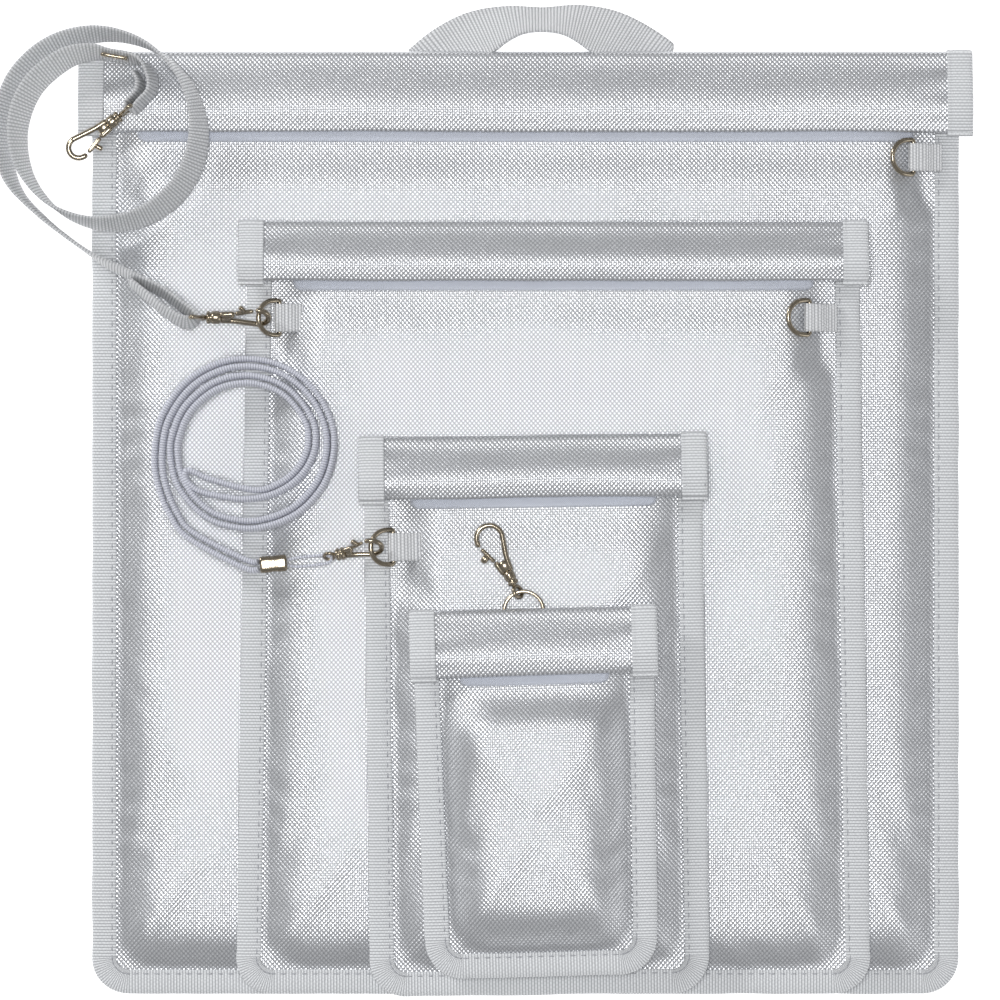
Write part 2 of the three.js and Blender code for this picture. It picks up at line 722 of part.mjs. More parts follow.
// A tube along chosen points: "tall" is its section's height and "wide" its width across the route.
function along(points, tall, wide, steps) {
  const section = new THREE.Shape();
  section.absellipse(0, 0, tall / 2, wide / 2, 0, 2 * Math.PI, false, 0);
  const route = new THREE.CatmullRomCurve3(points.map((point) => new THREE.Vector3(...point)));
  const options = { steps, extrudePath: route, curveSegments: 4, bevelEnabled: false };
  return solid(new THREE.ExtrudeGeometry(section, options));
}

const strapHeight = strapBow.z;
const strapEnd = strapBow.x - eyeReach - GAP;
const [cx, cy] = coilCentre;
const strapRoute = [
  [cx - 22.6, cy - 36.2, strapHeight],
  [cx - 14, cy - 42.5, strapHeight],
  [cx, cy - 52.5, strapHeight],
  [cx + 14, cy - 61.5, strapHeight],
  [strapEnd - 8, strapBow.y + 5, strapHeight],
  [strapEnd, strapBow.y, strapHeight],
];
add(set, "strap_lead", along(strapRoute, STRAP.width, STRAP.thickness, 22), WEBBING_FINISH);

// Lanyard: its claw on the small bag's ring, a crimped sleeve, and a loose coil.
const clawBow = bowOf(lanyardRing);
const clawHeading = 12;
const claw = hookGroup(set, clawBow.toArray(), clawHeading, 50, 15);
const clawEyeRadius = 1.9;
const clawBack = -CLAW.shank - CLAW.barrelLength - GAP - 0.7;
const clawEye = union([
  torus(clawEyeRadius, 1.4, 12).translate([clawBack - clawEyeRadius, 0, 0]),
  rod(clawBack - 0.4, -CLAW.shank, 1, 8),
]);
add(claw, "lanyard_claw_body", hookBody(CLAW, clawEye), METAL_FINISH);
add(claw, "lanyard_claw_lever", hookGate(CLAW), METAL_FINISH);

const lanyardCentre = [BAGS.medium.x - 118.2, BAGS.medium.y - 87.2];
const lanyardBottom = BAGS.medium.z + BAGS.medium.crown + GAP;
const lanyardCoil = new THREE.Group();
lanyardCoil.position.set(lanyardCentre[0], lanyardCentre[1], lanyardBottom);
set.add(lanyardCoil);
add(lanyardCoil, "lanyard_coil", ringSolid(LANYARD_COIL), LANYARD_FINISH);

const CRIMP = { length: 10, wide: 6, tall: 4, wall: 0.6 };
const clawEyePoint = claw.localToWorld(new THREE.Vector3(clawBack - clawEyeRadius, 0, 0));
const crimpHeading = 5;
const crimpGap = 17; // the thin loop between the sleeve and the claw
const crimp = new THREE.Group();
crimp.rotation.z = degrees(crimpHeading);
crimp.position.copy(clawEyePoint);
set.add(crimp);
const loopHalf = 1.6;
const loopTurn = union([
  bar([-crimpGap, loopHalf, 0], [0, loopHalf, 0], 0.5),
  bar([-crimpGap, -loopHalf, 0], [0, -loopHalf, 0], 0.5),
  bar([0, -loopHalf, 0], [0, loopHalf, 0], 0.5),
]);
const sleeve = block(
  -crimpGap - CRIMP.length,
  -crimpGap,
  -CRIMP.wide / 2,
  CRIMP.wide / 2,
  -CRIMP.tall / 2,
  CRIMP.tall / 2,
);
add(crimp, "lanyard_crimp", sleeve.add(loopTurn), METAL_FINISH);
crimp.updateMatrixWorld(true);
const cordEnd = crimp.localToWorld(new THREE.Vector3(-crimpGap - CRIMP.length - GAP, 0, 0));
const [lx, ly] = lanyardCentre;
const lanyardHeight = lanyardBottom + LANYARD_COIL.height / 2;
const lanyardRoute = [
  [lx - 26, ly - 31.5, lanyardHeight],
  [lx - 18, ly - 37, lanyardHeight],
  [lx - 9, ly - 40, lanyardHeight],
  [cordEnd.x - 4, cordEnd.y - 0.4, cordEnd.z - 0.4],
  [cordEnd.x, cordEnd.y, cordEnd.z],
];
add(set, "lanyard_lead", along(lanyardRoute, LANYARD.thickness, LANYARD.width, 14), LANYARD_FINISH);

// Key clip on the tiny bag's split ring.
const ringTop = splitRing.localToWorld(new THREE.Vector3(-2, 2 * splitRadius - 0.2, 0));
const clipHeading = 118;
const clipEyeRadius = 2.2;
const clipRise = 5;
const clipBack = KEY_CLIP.shank + KEY_CLIP.barrelLength + GAP + 0.8 + clipEyeRadius;
const clipPlace = [
  ringTop.x + clipBack * Math.cos(degrees(clipHeading)),
  ringTop.y + clipBack * Math.sin(degrees(clipHeading)),
  ringTop.z + clipBack * Math.tan(degrees(clipRise)),
];
const clip = hookGroup(set, clipPlace, clipHeading, 0, clipRise);
add(clip, "key_clip_body", hookBody(KEY_CLIP), METAL_FINISH);
add(clip, "key_clip_gate", hookGate(KEY_CLIP), METAL_FINISH);
const clipEye = add(clip, "key_clip_eye", roundEye(KEY_CLIP, clipEyeRadius, 1.6), METAL_FINISH);
clipEye.rotation.x = degrees(50);

export default set;
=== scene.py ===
# %% [markdown]
# # A nested set of fireproof battery bags
# Four flat bags of silver coated glass-fibre cloth lie in a stack, each on the front of the one
# below. Every bag has a front and a back panel, a ribbed tape folded over the raw edges, and a
# flap that turns over the top and closes with hook and loop tape. Webbing tabs hold D-rings for
# a shoulder strap and a lanyard, and the smallest bag hangs from a key clip.
# The CAD frame says where everything is and what moves. This script makes the cloth, tape,
# webbing, cord and metal around it.

# %% Load the frame
import json
from copy import copy
from math import ceil, cos, exp, hypot, pi, radians, sin, tau

import bmesh
import bpy
from mathutils import Matrix, Vector, noise
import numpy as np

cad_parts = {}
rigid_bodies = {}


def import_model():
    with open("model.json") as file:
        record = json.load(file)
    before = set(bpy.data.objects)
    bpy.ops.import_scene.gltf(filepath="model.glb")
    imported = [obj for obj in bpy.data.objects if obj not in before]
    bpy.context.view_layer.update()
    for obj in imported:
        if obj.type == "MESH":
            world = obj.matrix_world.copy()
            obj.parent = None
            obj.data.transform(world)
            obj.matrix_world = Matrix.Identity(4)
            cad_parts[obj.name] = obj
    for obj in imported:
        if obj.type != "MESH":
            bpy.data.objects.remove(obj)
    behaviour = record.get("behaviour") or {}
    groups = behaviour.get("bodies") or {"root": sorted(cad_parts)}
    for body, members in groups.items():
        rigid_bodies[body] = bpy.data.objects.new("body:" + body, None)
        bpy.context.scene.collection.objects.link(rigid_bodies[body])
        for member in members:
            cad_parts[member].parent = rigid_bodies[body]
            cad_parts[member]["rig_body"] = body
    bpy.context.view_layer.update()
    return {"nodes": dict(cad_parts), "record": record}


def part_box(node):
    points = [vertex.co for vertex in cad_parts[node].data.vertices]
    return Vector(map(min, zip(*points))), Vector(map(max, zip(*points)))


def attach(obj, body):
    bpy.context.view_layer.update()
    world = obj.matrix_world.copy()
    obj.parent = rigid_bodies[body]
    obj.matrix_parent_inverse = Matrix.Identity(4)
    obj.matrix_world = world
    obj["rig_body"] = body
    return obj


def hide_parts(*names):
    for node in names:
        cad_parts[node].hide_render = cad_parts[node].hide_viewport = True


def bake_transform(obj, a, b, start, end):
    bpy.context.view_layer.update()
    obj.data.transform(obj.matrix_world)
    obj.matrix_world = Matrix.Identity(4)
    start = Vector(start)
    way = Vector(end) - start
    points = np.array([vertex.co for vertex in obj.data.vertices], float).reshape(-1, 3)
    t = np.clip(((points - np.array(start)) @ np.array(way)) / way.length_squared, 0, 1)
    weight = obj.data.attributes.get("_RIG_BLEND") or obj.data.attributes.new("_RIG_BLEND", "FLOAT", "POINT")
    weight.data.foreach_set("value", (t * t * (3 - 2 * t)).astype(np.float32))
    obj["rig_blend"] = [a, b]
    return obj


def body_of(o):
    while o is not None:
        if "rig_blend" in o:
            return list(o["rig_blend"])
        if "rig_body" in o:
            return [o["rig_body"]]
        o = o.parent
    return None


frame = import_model()
mm = 0.001
joints = {joint["name"]: joint for joint in frame["record"]["behaviour"]["joints"]}

# %% [markdown]
# ## Camera and light
# The set is looked at from straight above through a long lens, so that heights hardly shift
# anything sideways. One big soft light hangs beside the camera, which makes satin cloth bright
# where it lies flat and darker where it rolls over towards a seam.

# %% Camera
FRAME_WIDTH = 386.1 * mm
VIEW_MIDDLE = (-9.85 * mm, 0.2 * mm)
STACK_HEIGHT = 12 * mm  # height at which the frame has its width
LENS = 250.0
SENSOR = 36.0
camera_data = bpy.data.cameras.new("overhead")
camera_data.lens = LENS
camera_data.sensor_width = SENSOR
camera_data.clip_end = 20
camera = bpy.data.objects.new("overhead", camera_data)
camera_height = FRAME_WIDTH * LENS / SENSOR + STACK_HEIGHT
camera.location = (*VIEW_MIDDLE, camera_height)
bpy.context.scene.collection.objects.link(camera)
bpy.context.scene.camera = camera
bpy.context.scene.view_settings.view_transform = "Standard"
print("camera at", round(camera_height, 3), "m")


# %% Lights
def soft_light(name, place, size, power):
    light = bpy.data.lights.new(name, "AREA")
    light.shape = "DISK"
    light.size = size
    light.energy = power
    lamp = bpy.data.objects.new(name, light)
    lamp.location = place
    lamp.rotation_euler = (-Vector(place)).to_track_quat("-Z", "Y").to_euler()
    bpy.context.scene.collection.objects.link(lamp)


soft_light("overhead_softbox", (-0.15, 0.05, 3.3), 1.1, 50)
soft_light("key_softbox", (-1.5, 1.2, 0.9), 0.5, 14)
soft_light("fill_right", (1.5, -0.9, 0.8), 0.8, 3)

world = bpy.data.worlds.new("studio")
bpy.context.scene.world = world
world.use_nodes = True
sky = world.node_tree.nodes["Background"].inputs
sky["Color"].default_value = (0.98, 0.985, 1.0, 1)
sky["Strength"].default_value = 0.30
print("3 soft lights and a pale surround")

# %% [markdown]
# ## Materials
# Each cloth reads its own UV map, which holds millimetres along and across the piece. That way a
# weave keeps its real pitch and follows the cloth round corners. Two effects are shared as node
# groups: a field of staggered woven cells, and the ribs of a grosgrain tape.

# %% Node helpers
def link_math(tree, operation, *values):
    node = tree.nodes.new("ShaderNodeMath")
    node.operation = operation
    for socket, value in zip(node.inputs, values):
        if isinstance(value, (int, float)):
            socket.default_value = value
        else:
            tree.links.new(value, socket)
    return node.outputs[0]


def new_group(name, inputs, outputs):
    tree = bpy.data.node_groups.new(name, "ShaderNodeTree")
    for label, kind, value in inputs:
        socket = tree.interface.new_socket(label, in_out="INPUT", socket_type=kind)
        if value is not None:
            socket.default_value = value
    for label, kind in outputs:
        tree.interface.new_socket(label, in_out="OUTPUT", socket_type=kind)
    start = tree.nodes.new("NodeGroupInput").outputs
    end = tree.nodes.new("NodeGroupOutput").inputs
    return tree, start, end


def place_group(tree, group, **values):
    node = tree.nodes.new("ShaderNodeGroup")
    node.node_tree = group
    for label, value in values.items():
        socket = node.inputs[label.replace("_", " ")]
        if isinstance(value, (int, float, tuple)):
            socket.default_value = value
        else:
            tree.links.new(value, socket)
    return node.outputs


def new_material(name):
    material = bpy.data.materials.new(name)
    material.use_nodes = True
    tree = material.node_tree
    return material, tree, tree.nodes["Principled BSDF"]


def noise_field(tree, place, scale, detail):
    field = tree.nodes.new("ShaderNodeTexNoise")
    field.inputs["Scale"].default_value = scale
    field.inputs["Detail"].default_value = detail
    tree.links.new(place, field.inputs["Vector"])
    return field.outputs["Fac"]


def colour_between(tree, factor, low, high):
    ramp = tree.nodes.new("ShaderNodeMix")
    ramp.data_type = "RGBA"
    tree.links.new(factor, ramp.inputs["Factor"])
    ramp.inputs["A"].default_value = (*low, 1)
    ramp.inputs["B"].default_value = (*high, 1)
    return ramp.outputs["Result"]


# %% Woven cells
# Two crossed sine waves make a diamond lattice: 1 in the middle of each cell, 0 between cells.
# Besides bump and roughness, this lattice sets where the fabrics' painted shade between threads falls.
cells, cells_in, cells_out = new_group(
    "woven cells",
    [
        ("Place", "NodeSocketVector", None),
        ("Pitch Across", "NodeSocketFloat", 1.8),
        ("Pitch Along", "NodeSocketFloat", 1.6),
    ],
    [("Cells", "NodeSocketFloat")],
)
split = cells.nodes.new("ShaderNodeSeparateXYZ")
cells.links.new(cells_in["Place"], split.inputs[0])
across = link_math(cells, "DIVIDE", split.outputs[0], cells_in["Pitch Across"])
along = link_math(cells, "DIVIDE", split.outputs[1], cells_in["Pitch Along"])
waves = []
for combine in ("ADD", "SUBTRACT"):
    angle = link_math(cells, "MULTIPLY", link_math(cells, combine, across, along), pi)
    waves.append(link_math(cells, "ABSOLUTE", link_math(cells, "SINE", angle)))
cells.links.new(link_math(cells, "MULTIPLY", *waves), cells_out["Cells"])

# %% Tape ribs
# Ribs lie across a tape at an even pitch, and each rib is broken up where the warp binds it.
# Besides bump and roughness, these ribs set where the tapes' painted shade between ribs falls.
ribs, ribs_in, ribs_out = new_group(
    "tape ribs",
    [
        ("Place", "NodeSocketVector", None),
        ("Rib Pitch", "NodeSocketFloat", 1.1),
        ("Warp Pitch", "NodeSocketFloat", 1.0),
        ("Warp Depth", "NodeSocketFloat", 0.35),
    ],
    [("Ribs", "NodeSocketFloat")],
)
split = ribs.nodes.new("ShaderNodeSeparateXYZ")
ribs.links.new(ribs_in["Place"], split.inputs[0])
rib_count = link_math(ribs, "DIVIDE", split.outputs[1], ribs_in["Rib Pitch"])
rib_angle = link_math(ribs, "MULTIPLY", rib_count, pi)
rib_wave = link_math(ribs, "ABSOLUTE", link_math(ribs, "SINE", rib_angle))
shift = link_math(ribs, "MULTIPLY", link_math(ribs, "FLOOR", rib_count), 0.5)
warp_place = link_math(ribs, "DIVIDE", split.outputs[0], ribs_in["Warp Pitch"])
warp_angle = link_math(ribs, "MULTIPLY", link_math(ribs, "ADD", warp_place, shift), pi)
warp_wave = link_math(ribs, "ABSOLUTE", link_math(ribs, "SINE", warp_angle))
bound = link_math(ribs, "MULTIPLY", warp_wave, ribs_in["Warp Depth"])
plain = link_math(ribs, "SUBTRACT", 1.0, ribs_in["Warp Depth"])
height = link_math(ribs, "MULTIPLY", rib_wave, link_math(ribs, "ADD", bound, plain))
ribs.links.new(height, ribs_out["Ribs"])
print("node groups:", [group.name for group in bpy.data.node_groups])

# %% [markdown]
# ### Fabrics
# Real cloth is bright on the crown of each thread and dark in the gaps, where the threads shade
# each other. Modelling every thread would take millions of faces, so the weave is a pattern that
# drives colour, roughness and bump together; its colour is darkened between the threads as painted
# shade. One recipe serves all the fabrics, and each one only sets its pitch and its colours.

# %% One recipe for every fabric
def fabric(
    name, pattern, settings, low, high, roughness, metallic=0.0, bump=0.15, sheen=0.1, mottling=0.04,
):
    """Cloth coloured low between its threads, as painted shade in the gaps, and high on them, with faint
    uneven patches.
    """
    material, tree, shader = new_material(name)
    uv = tree.nodes.new("ShaderNodeUVMap")
    uv.uv_map = "UVMap"
    threads = place_group(tree, pattern, Place=uv.outputs[0], **settings)[0]
    patches = noise_field(tree, uv.outputs[0], 0.035, 5)
    fibres = noise_field(tree, uv.outputs[0], 2.2, 2)
    uneven = link_math(tree, "MULTIPLY_ADD", patches, 2 * mottling, 1 - mottling)
    speckle = link_math(tree, "MULTIPLY_ADD", fibres, 0.12, -0.06)
    shade = tree.nodes.new("ShaderNodeHueSaturation")
    tree.links.new(link_math(tree, "ADD", uneven, speckle), shade.inputs["Value"])
    # The colour runs from low in the gaps, which is painted shade, to high on the threads.
    tree.links.new(colour_between(tree, threads, low, high), shade.inputs["Color"])
    tree.links.new(shade.outputs[0], shader.inputs["Base Color"])
    rough = link_math(tree, "MULTIPLY_ADD", threads, -0.12, roughness + 0.06)
    tree.links.new(rough, shader.inputs["Roughness"])
    shader.inputs["Metallic"].default_value = metallic
    shader.inputs["Sheen Weight"].default_value = sheen
    raised = tree.nodes.new("ShaderNodeBump")
    raised.inputs["Strength"].default_value = 0.9
    raised.inputs["Distance"].default_value = bump * mm
    height = link_math(tree, "MULTIPLY_ADD", fibres, 0.35, threads)
    tree.links.new(height, raised.inputs["Height"])
    tree.links.new(raised.outputs[0], shader.inputs["Normal"])
    return material


# %% The fabrics
# Each fabric gives two colours: the first is painted shade in the gaps of its weave, the second its colour
# on the threads.
silver_cloth = fabric(
    "coated silver cloth", cells, {"Pitch_Across": 1.75, "Pitch_Along": 1.9},
    (0.45, 0.46, 0.485), (0.93, 0.945, 0.97), 0.34, metallic=0.75, bump=0.15,
)
edge_tape = fabric(
    "ribbed edge tape", ribs, {"Rib_Pitch": 1.15, "Warp_Pitch": 1.3},
    (0.42, 0.43, 0.45), (0.90, 0.92, 0.94), 0.6, bump=0.24, sheen=0.2,
)
webbing = fabric(
    "grey webbing", ribs, {"Rib_Pitch": 1.25, "Warp_Pitch": 1.2, "Warp_Depth": 0.45},
    (0.42, 0.43, 0.445), (0.92, 0.93, 0.95), 0.6, bump=0.35, sheen=0.2,
)
loop_pile = fabric(
    "loop pile", cells, {"Pitch_Across": 0.8, "Pitch_Along": 0.7},
    (0.66, 0.71, 0.86), (0.93, 0.96, 1.0), 0.9, bump=0.25, sheen=0.5, mottling=0.1,
)
hook_pile = fabric(
    "hook tape", cells, {"Pitch_Across": 1.2, "Pitch_Along": 1.2},
    (0.60, 0.62, 0.66), (0.86, 0.88, 0.92), 0.8, bump=0.3, sheen=0.1,
)
lanyard_weave = fabric(
    "woven lanyard", ribs, {"Rib_Pitch": 1.0, "Warp_Pitch": 0.9, "Warp_Depth": 0.5},
    (0.38, 0.39, 0.46), (0.86, 0.88, 0.97), 0.55, bump=0.25, sheen=0.25,
)
thread = fabric(
    "sewing thread", cells, {"Pitch_Across": 0.3, "Pitch_Along": 0.3},
    (0.42, 0.43, 0.46), (0.72, 0.74, 0.78), 0.55, bump=0.03,
)

# %% [markdown]
# ### Metal
# The hooks and rings are plated, smooth and slightly warm. A plain metallic surface looks like
# foil on so small a part, so a slow noise rubs it a little duller and darker in places.

# %% Metal
def metal(name, colour, roughness):
    """Plated metal with faint rubbing: a slow noise moves its roughness and its tint."""
    material, tree, shader = new_material(name)
    place = tree.nodes.new("ShaderNodeTexCoord")
    rub = noise_field(tree, place.outputs["Object"], 260, 4)
    tint = colour_between(tree, rub, [part * 0.72 for part in colour], colour)
    tree.links.new(tint, shader.inputs["Base Color"])
    rough = link_math(tree, "MULTIPLY_ADD", rub, 0.18, roughness)
    tree.links.new(rough, shader.inputs["Roughness"])
    shader.inputs["Metallic"].default_value = 1
    return material


warm_plate = metal("warm plated metal", (0.44, 0.38, 0.29), 0.12)
print("materials:", [material.name for material in bpy.data.materials])

# %% [markdown]
# ## Cloth from a grid
# A piece of cloth is a flat grid before it is sewn, so each one starts as a grid and is laid
# where it belongs point by point. The grid's own coordinates, in millimetres, become the UV map.
# Cloth simulation could find the shapes as well, but its result is hard to steer to a known
# outline, while a laid grid ends exactly where the frame says.

# %% Laying a grid
def piece_from(bm, name, material):
    """An object made of a finished bmesh, shaded smooth."""
    mesh = bpy.data.meshes.new(name)
    bm.to_mesh(mesh)
    bm.free()
    for face in mesh.polygons:
        face.use_smooth = True
    mesh.materials.append(material)
    piece = bpy.data.objects.new(name, mesh)
    bpy.context.scene.collection.objects.link(piece)
    return piece


def laid_cloth(
    name, size, cells_across, cells_along, lay, thickness, material, closed=False, rows=None,
):
    """A grid laid as cloth: lay(u, v) gives the place of a point in metres.

    size is the cloth's (width, length) in mm. rows are the distances along the cloth, in mm, of
    rows that aren't evenly spaced. A closed piece meets itself, as a tube does.
    """
    bm = bmesh.new()
    uv_layer = bm.loops.layers.uv.new("UVMap")
    bmesh.ops.create_grid(bm, x_segments=cells_across, y_segments=cells_along, size=0.5)
    flat = {vert: (vert.co.x + 0.5, vert.co.y + 0.5) for vert in bm.verts}
    for face in bm.faces:
        for loop in face.loops:
            u, v = flat[loop.vert]
            along = rows[round(v * cells_along)] if rows else v * size[1]
            loop[uv_layer].uv = (u * size[0], along)
    for vert, (u, v) in flat.items():
        vert.co = lay(u, v)
    if closed:
        bmesh.ops.remove_doubles(bm, verts=bm.verts, dist=1e-6)
        bmesh.ops.recalc_face_normals(bm, faces=bm.faces)
    piece = piece_from(bm, name, material)
    if thickness:
        wall = piece.modifiers.new("thickness", "SOLIDIFY")
        wall.thickness = thickness * mm
        wall.offset = 0
    return piece


def stands_for(piece, slot, *nodes):
    """The piece takes over CAD nodes, and rides on the body of the first one."""
    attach(piece, body_of(frame["nodes"][nodes[0]])[0])
    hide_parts(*nodes)


# %% Easing
def ease(t):
    t = min(max(t, 0.0), 1.0)
    return t * t * (3 - 2 * t)


def mix(a, b, t):
    return a + (b - a) * t


# %% [markdown]
# ## The four bags
# A bag's own measures run from the middle of its fold line: x to the right, y up (so the bag
# lies at negative y), z up from what it rests on. The flap's hinge in the frame says where the
# fold line is and how the bag is turned.

# %% Sizes and places
BINDING_WIDTH = 9.5  # how far the edge tape reaches in
SEAM = BINDING_WIDTH + 0.3  # where the front panel leaves the tape
RAW_EDGE = 0.9  # from the bag's edge to the panels' own edges
CORNER = 14.5  # radius of the lower corners
SHOULDER = 22.0  # how far the front panel takes to rise from its seam
EDGE_TOP = 2.7  # height of the front panel in its seam
MOUTH_HEIGHT = 7.2  # its height under the flap
MOUTH = 8.8  # from the fold line to its upper edge
FOLD_RADIUS = 3.7
FOLD_HEIGHT = 6.4  # of the flap's hinge over the bag's underside


class Bag:
    """A bag's measures in mm. crown is how high it is filled, and flap how far the flap hangs."""

    def __init__(self, name, length, top, bottom, flap_width, flap, crown):
        self.name, self.length, self.top, self.bottom = name, length, top, bottom
        self.flap_width, self.flap, self.crown = flap_width, flap, crown
        hinge = joints[name + "_flap_opens"]
        self.right = -Vector(hinge["axis"])
        self.up = Vector((-self.right.y, self.right.x, 0))
        height = Vector((0, 0, 1))
        self.fold = Vector(hinge["pos_m"]) + (self.up * FOLD_RADIUS - height * FOLD_HEIGHT) * mm
        self.body = name + "_bag"
        self.flap_body = name + "_flap"
        self.seed = Vector((len(name) * 7.3, length * 0.17, 3.1))

    def place(self, x, y, z):
        return self.fold + (self.right * x + self.up * y + Vector((0, 0, z))) * mm

    def half(self, y):
        return mix(self.top, self.bottom, -y / self.length) / 2


bags = [
    Bag("large", 365, 336, 336, 346, 31, 10),
    Bag("medium", 298, 236, 245, 243, 22.5, 9.5),
    Bag("small", 215, 130, 131, 134, 23.5, 9.5),
    Bag("tiny", 141, 93, 89, 95, 25, 13),
]
by_name = {bag.name: bag for bag in bags}
for bag in bags:
    print(bag.name, "fold line at", [round(value, 4) for value in bag.fold])


# %% [markdown]
# ### Front panels
# A front panel is caught flat in the seams and swells to its crown over the pocket. Where cloth
# is gathered by a seam it puckers, and stiff coated cloth keeps soft diagonal creases from being
# folded. The panel dips again towards the flap, where the loop tape holds it flat.

# %% Wrinkles
def crease(x, y, x0, y0, x1, y1, width):
    """A soft ridge from (x0, y0) to (x1, y1), 1 on its line and fading to its ends."""
    dx, dy = x1 - x0, y1 - y0
    length = hypot(dx, dy)
    along = ((x - x0) * dx + (y - y0) * dy) / length**2
    off = abs((x - x0) * dy - (y - y0) * dx) / length
    fade = ease(1.6 - abs(along - 0.5) * 3.2)
    return exp(-((off / width) ** 2)) * fade


GATHER_PITCH = 17
GATHER_REACH = 9.0


def pucker(bag, distance, along):
    """Small gathers square to a seam, dying out a few centimetres from it."""
    drift = 10 * noise.noise(Vector((along * 0.02, distance * 0.05, 0)) + bag.seed)
    wave = sin(along * tau / GATHER_PITCH + drift)
    strength = 0.5 + noise.noise(Vector((along * 0.03, 0, 7)) + bag.seed)
    return wave * strength * exp(-distance / GATHER_REACH) * (1 - exp(-distance / 2.0))


def bulge(t):
    """A swelling that is steepest at the seam."""
    t = min(max(t, 0.0), 1.0)
    return 1 - (1 - t) ** 2.3


TABS = {  # where webbing tabs are sewn down
    "large": [(158, -41)],
    "medium": [(98.5, -37), (-105.5, -37)],
    "small": [(-53.5, -42)],
    "tiny": [],
}


def tab_pull(bag, x, y):
    """How far a sewn tab holds the cloth down: 1 at the tab, 0 away from it."""
    near = min((hypot(x - tab_x, (y - tab_y) * 0.9) for tab_x, tab_y in TABS[bag.name]), default=99)
    return ease((24 - near) / 12)


GATHER_DEPTH = 0.55


def swell(bag, x, y):
    """How high the front panel stands at a point."""
    from_side = bag.half(y) - abs(x) - SEAM
    from_bottom = y + bag.length - SEAM
    dip = ease((y + bag.flap + SHOULDER) / (SHOULDER - 5))
    crown = mix(bag.crown, MOUTH_HEIGHT, dip)
    plain = ease(from_side / SHOULDER) * ease(from_bottom / SHOULDER)
    full = bulge(from_side / SHOULDER) * bulge(from_bottom / SHOULDER)
    rise = mix(full, plain, tab_pull(bag, x, y))
    height = EDGE_TOP + (crown - EDGE_TOP) * rise
    if from_side < 0 or from_bottom < 0:
        return height
    inside = min(1.0, rise * 6) * (1 - 0.8 * dip)
    gathers = GATHER_DEPTH * (pucker(bag, from_side, y) + pucker(bag, from_bottom, x))
    slow = noise.noise(Vector((x * 0.016, y * 0.016, 0)) + bag.seed)
    middling = noise.noise(Vector((x * 0.045, y * 0.045, 5)) + bag.seed)
    slack = -0.9 * abs(slow) - 0.35 * abs(middling)
    folds = 0.0
    low, top = -bag.length, -bag.flap
    for side in (-1, 1):
        edge = side * bag.half(y)
        folds += 0.8 * crease(x, y, edge - side * 12, low + 14, edge - side * 48, low + 62, 4.5)
        folds -= 0.7 * crease(x, y, edge - side * 12, low + 34, edge - side * 34, low + 92, 5)
        folds += 0.7 * crease(x, y, edge - side * 13, top - 16, edge - side * 52, top - 58, 5)
    return height + inside * (gathers + slack + folds - 0.5)


# %% Panels
FRONT_CELL = 2.4  # the front panel's grid is fine enough for its wrinkles
BACK_CELL = 6
CORNER_INSET = 1.2


def round_corners(piece, bag):
    """Pulls the two square bottom corners of a panel in to the binding's rounded ones."""
    radius = CORNER - CORNER_INSET
    for vert in piece.data.vertices:
        local = vert.co - bag.fold
        x, y = local.dot(bag.right) / mm, local.dot(bag.up) / mm
        side = 1 if x > 0 else -1
        centre_x = side * (bag.half(-bag.length) - CORNER_INSET - radius)
        centre_y = -bag.length + CORNER_INSET + radius
        dx, dy = x - centre_x, y - centre_y
        if dx * side > 0 and dy < 0 and hypot(dx, dy) > radius:
            pull = radius / hypot(dx, dy)
            vert.co = bag.place(centre_x + dx * pull, centre_y + dy * pull, local.z / mm)


def front_height(bag, x, y):
    return swell(bag, x, y) - 0.4


def back_height(bag, x, y):
    return 1.2 + 0.12 * noise.noise(Vector((x * 0.03, y * 0.03, 2)) + bag.seed)


def panel(bag, side, high, cell, thickness, height):
    """One panel, from the bottom of the bag up to y high, with height(bag, x, y) its middle's."""
    low = -bag.length + RAW_EDGE

    def lay(u, v):
        y = mix(low, high, v)
        x = (2 * u - 1) * (bag.half(y) - RAW_EDGE)
        return bag.place(x, y, height(bag, x, y))

    width, length = max(bag.top, bag.bottom), high - low
    piece = laid_cloth(
        f"{bag.name}_{side}_cloth", (width, length), round(width / cell), round(length / cell),
        lay, thickness, silver_cloth,
    )
    round_corners(piece, bag)
    stands_for(piece, "coated_cloth", f"{bag.name}_{side}_panel")
    flat = (round(width * mm, 4), round(length * mm, 4))
    print(piece.name, "is cut to", flat)


for bag in bags:
    panel(bag, "back", -FOLD_RADIUS - 0.6, BACK_CELL, 0.6, back_height)
    panel(bag, "front", -MOUTH, FRONT_CELL, 0.7, front_height)

# %% [markdown]
# ### Edge binding
# The binding is one tape folded over both panels, from the mouth down one side, round the
# bottom corners and up the other side. Its section is a flat C, and it is carried along the
# bag's outline. Sewing pulls the tape down along the stitch line. A bevelled curve would give the
# same shape, but a laid grid keeps the ribs square to the edge, even round the corners.

# %% The outline
OUTLINE_STEP = 2.0
ARC_STEPS = 14


def outline_path(bag):
    """Points (x, y, inward x, inward y, distance run) down the left side and up the right."""
    low = bag.half(-bag.length)
    bottom = -bag.length
    side_count = ceil((bag.length - MOUTH - CORNER) / OUTLINE_STEP)
    points = []
    for i in range(side_count):
        y = mix(-MOUTH, bottom + CORNER, i / side_count)
        points.append((-bag.half(y), y, 1.0, 0.0))
    for i in range(ARC_STEPS + 1):
        angle = pi + (pi / 2) * i / ARC_STEPS
        c, s = cos(angle), sin(angle)
        points.append((-low + CORNER + CORNER * c, bottom + CORNER + CORNER * s, -c, -s))
    left = points[:]
    count = ceil((2 * low - 2 * CORNER) / OUTLINE_STEP)
    for i in range(1, count):
        points.append((mix(-low + CORNER, low - CORNER, i / count), bottom, 0.0, 1.0))
    points += [(-x, y, -nx, ny) for x, y, nx, ny in reversed(left)]
    run = 0.0
    path = []
    for i, (x, y, nx, ny) in enumerate(points):
        if i:
            run += hypot(x - points[i - 1][0], y - points[i - 1][1])
        path.append((x, y, nx, ny, run))
    return path


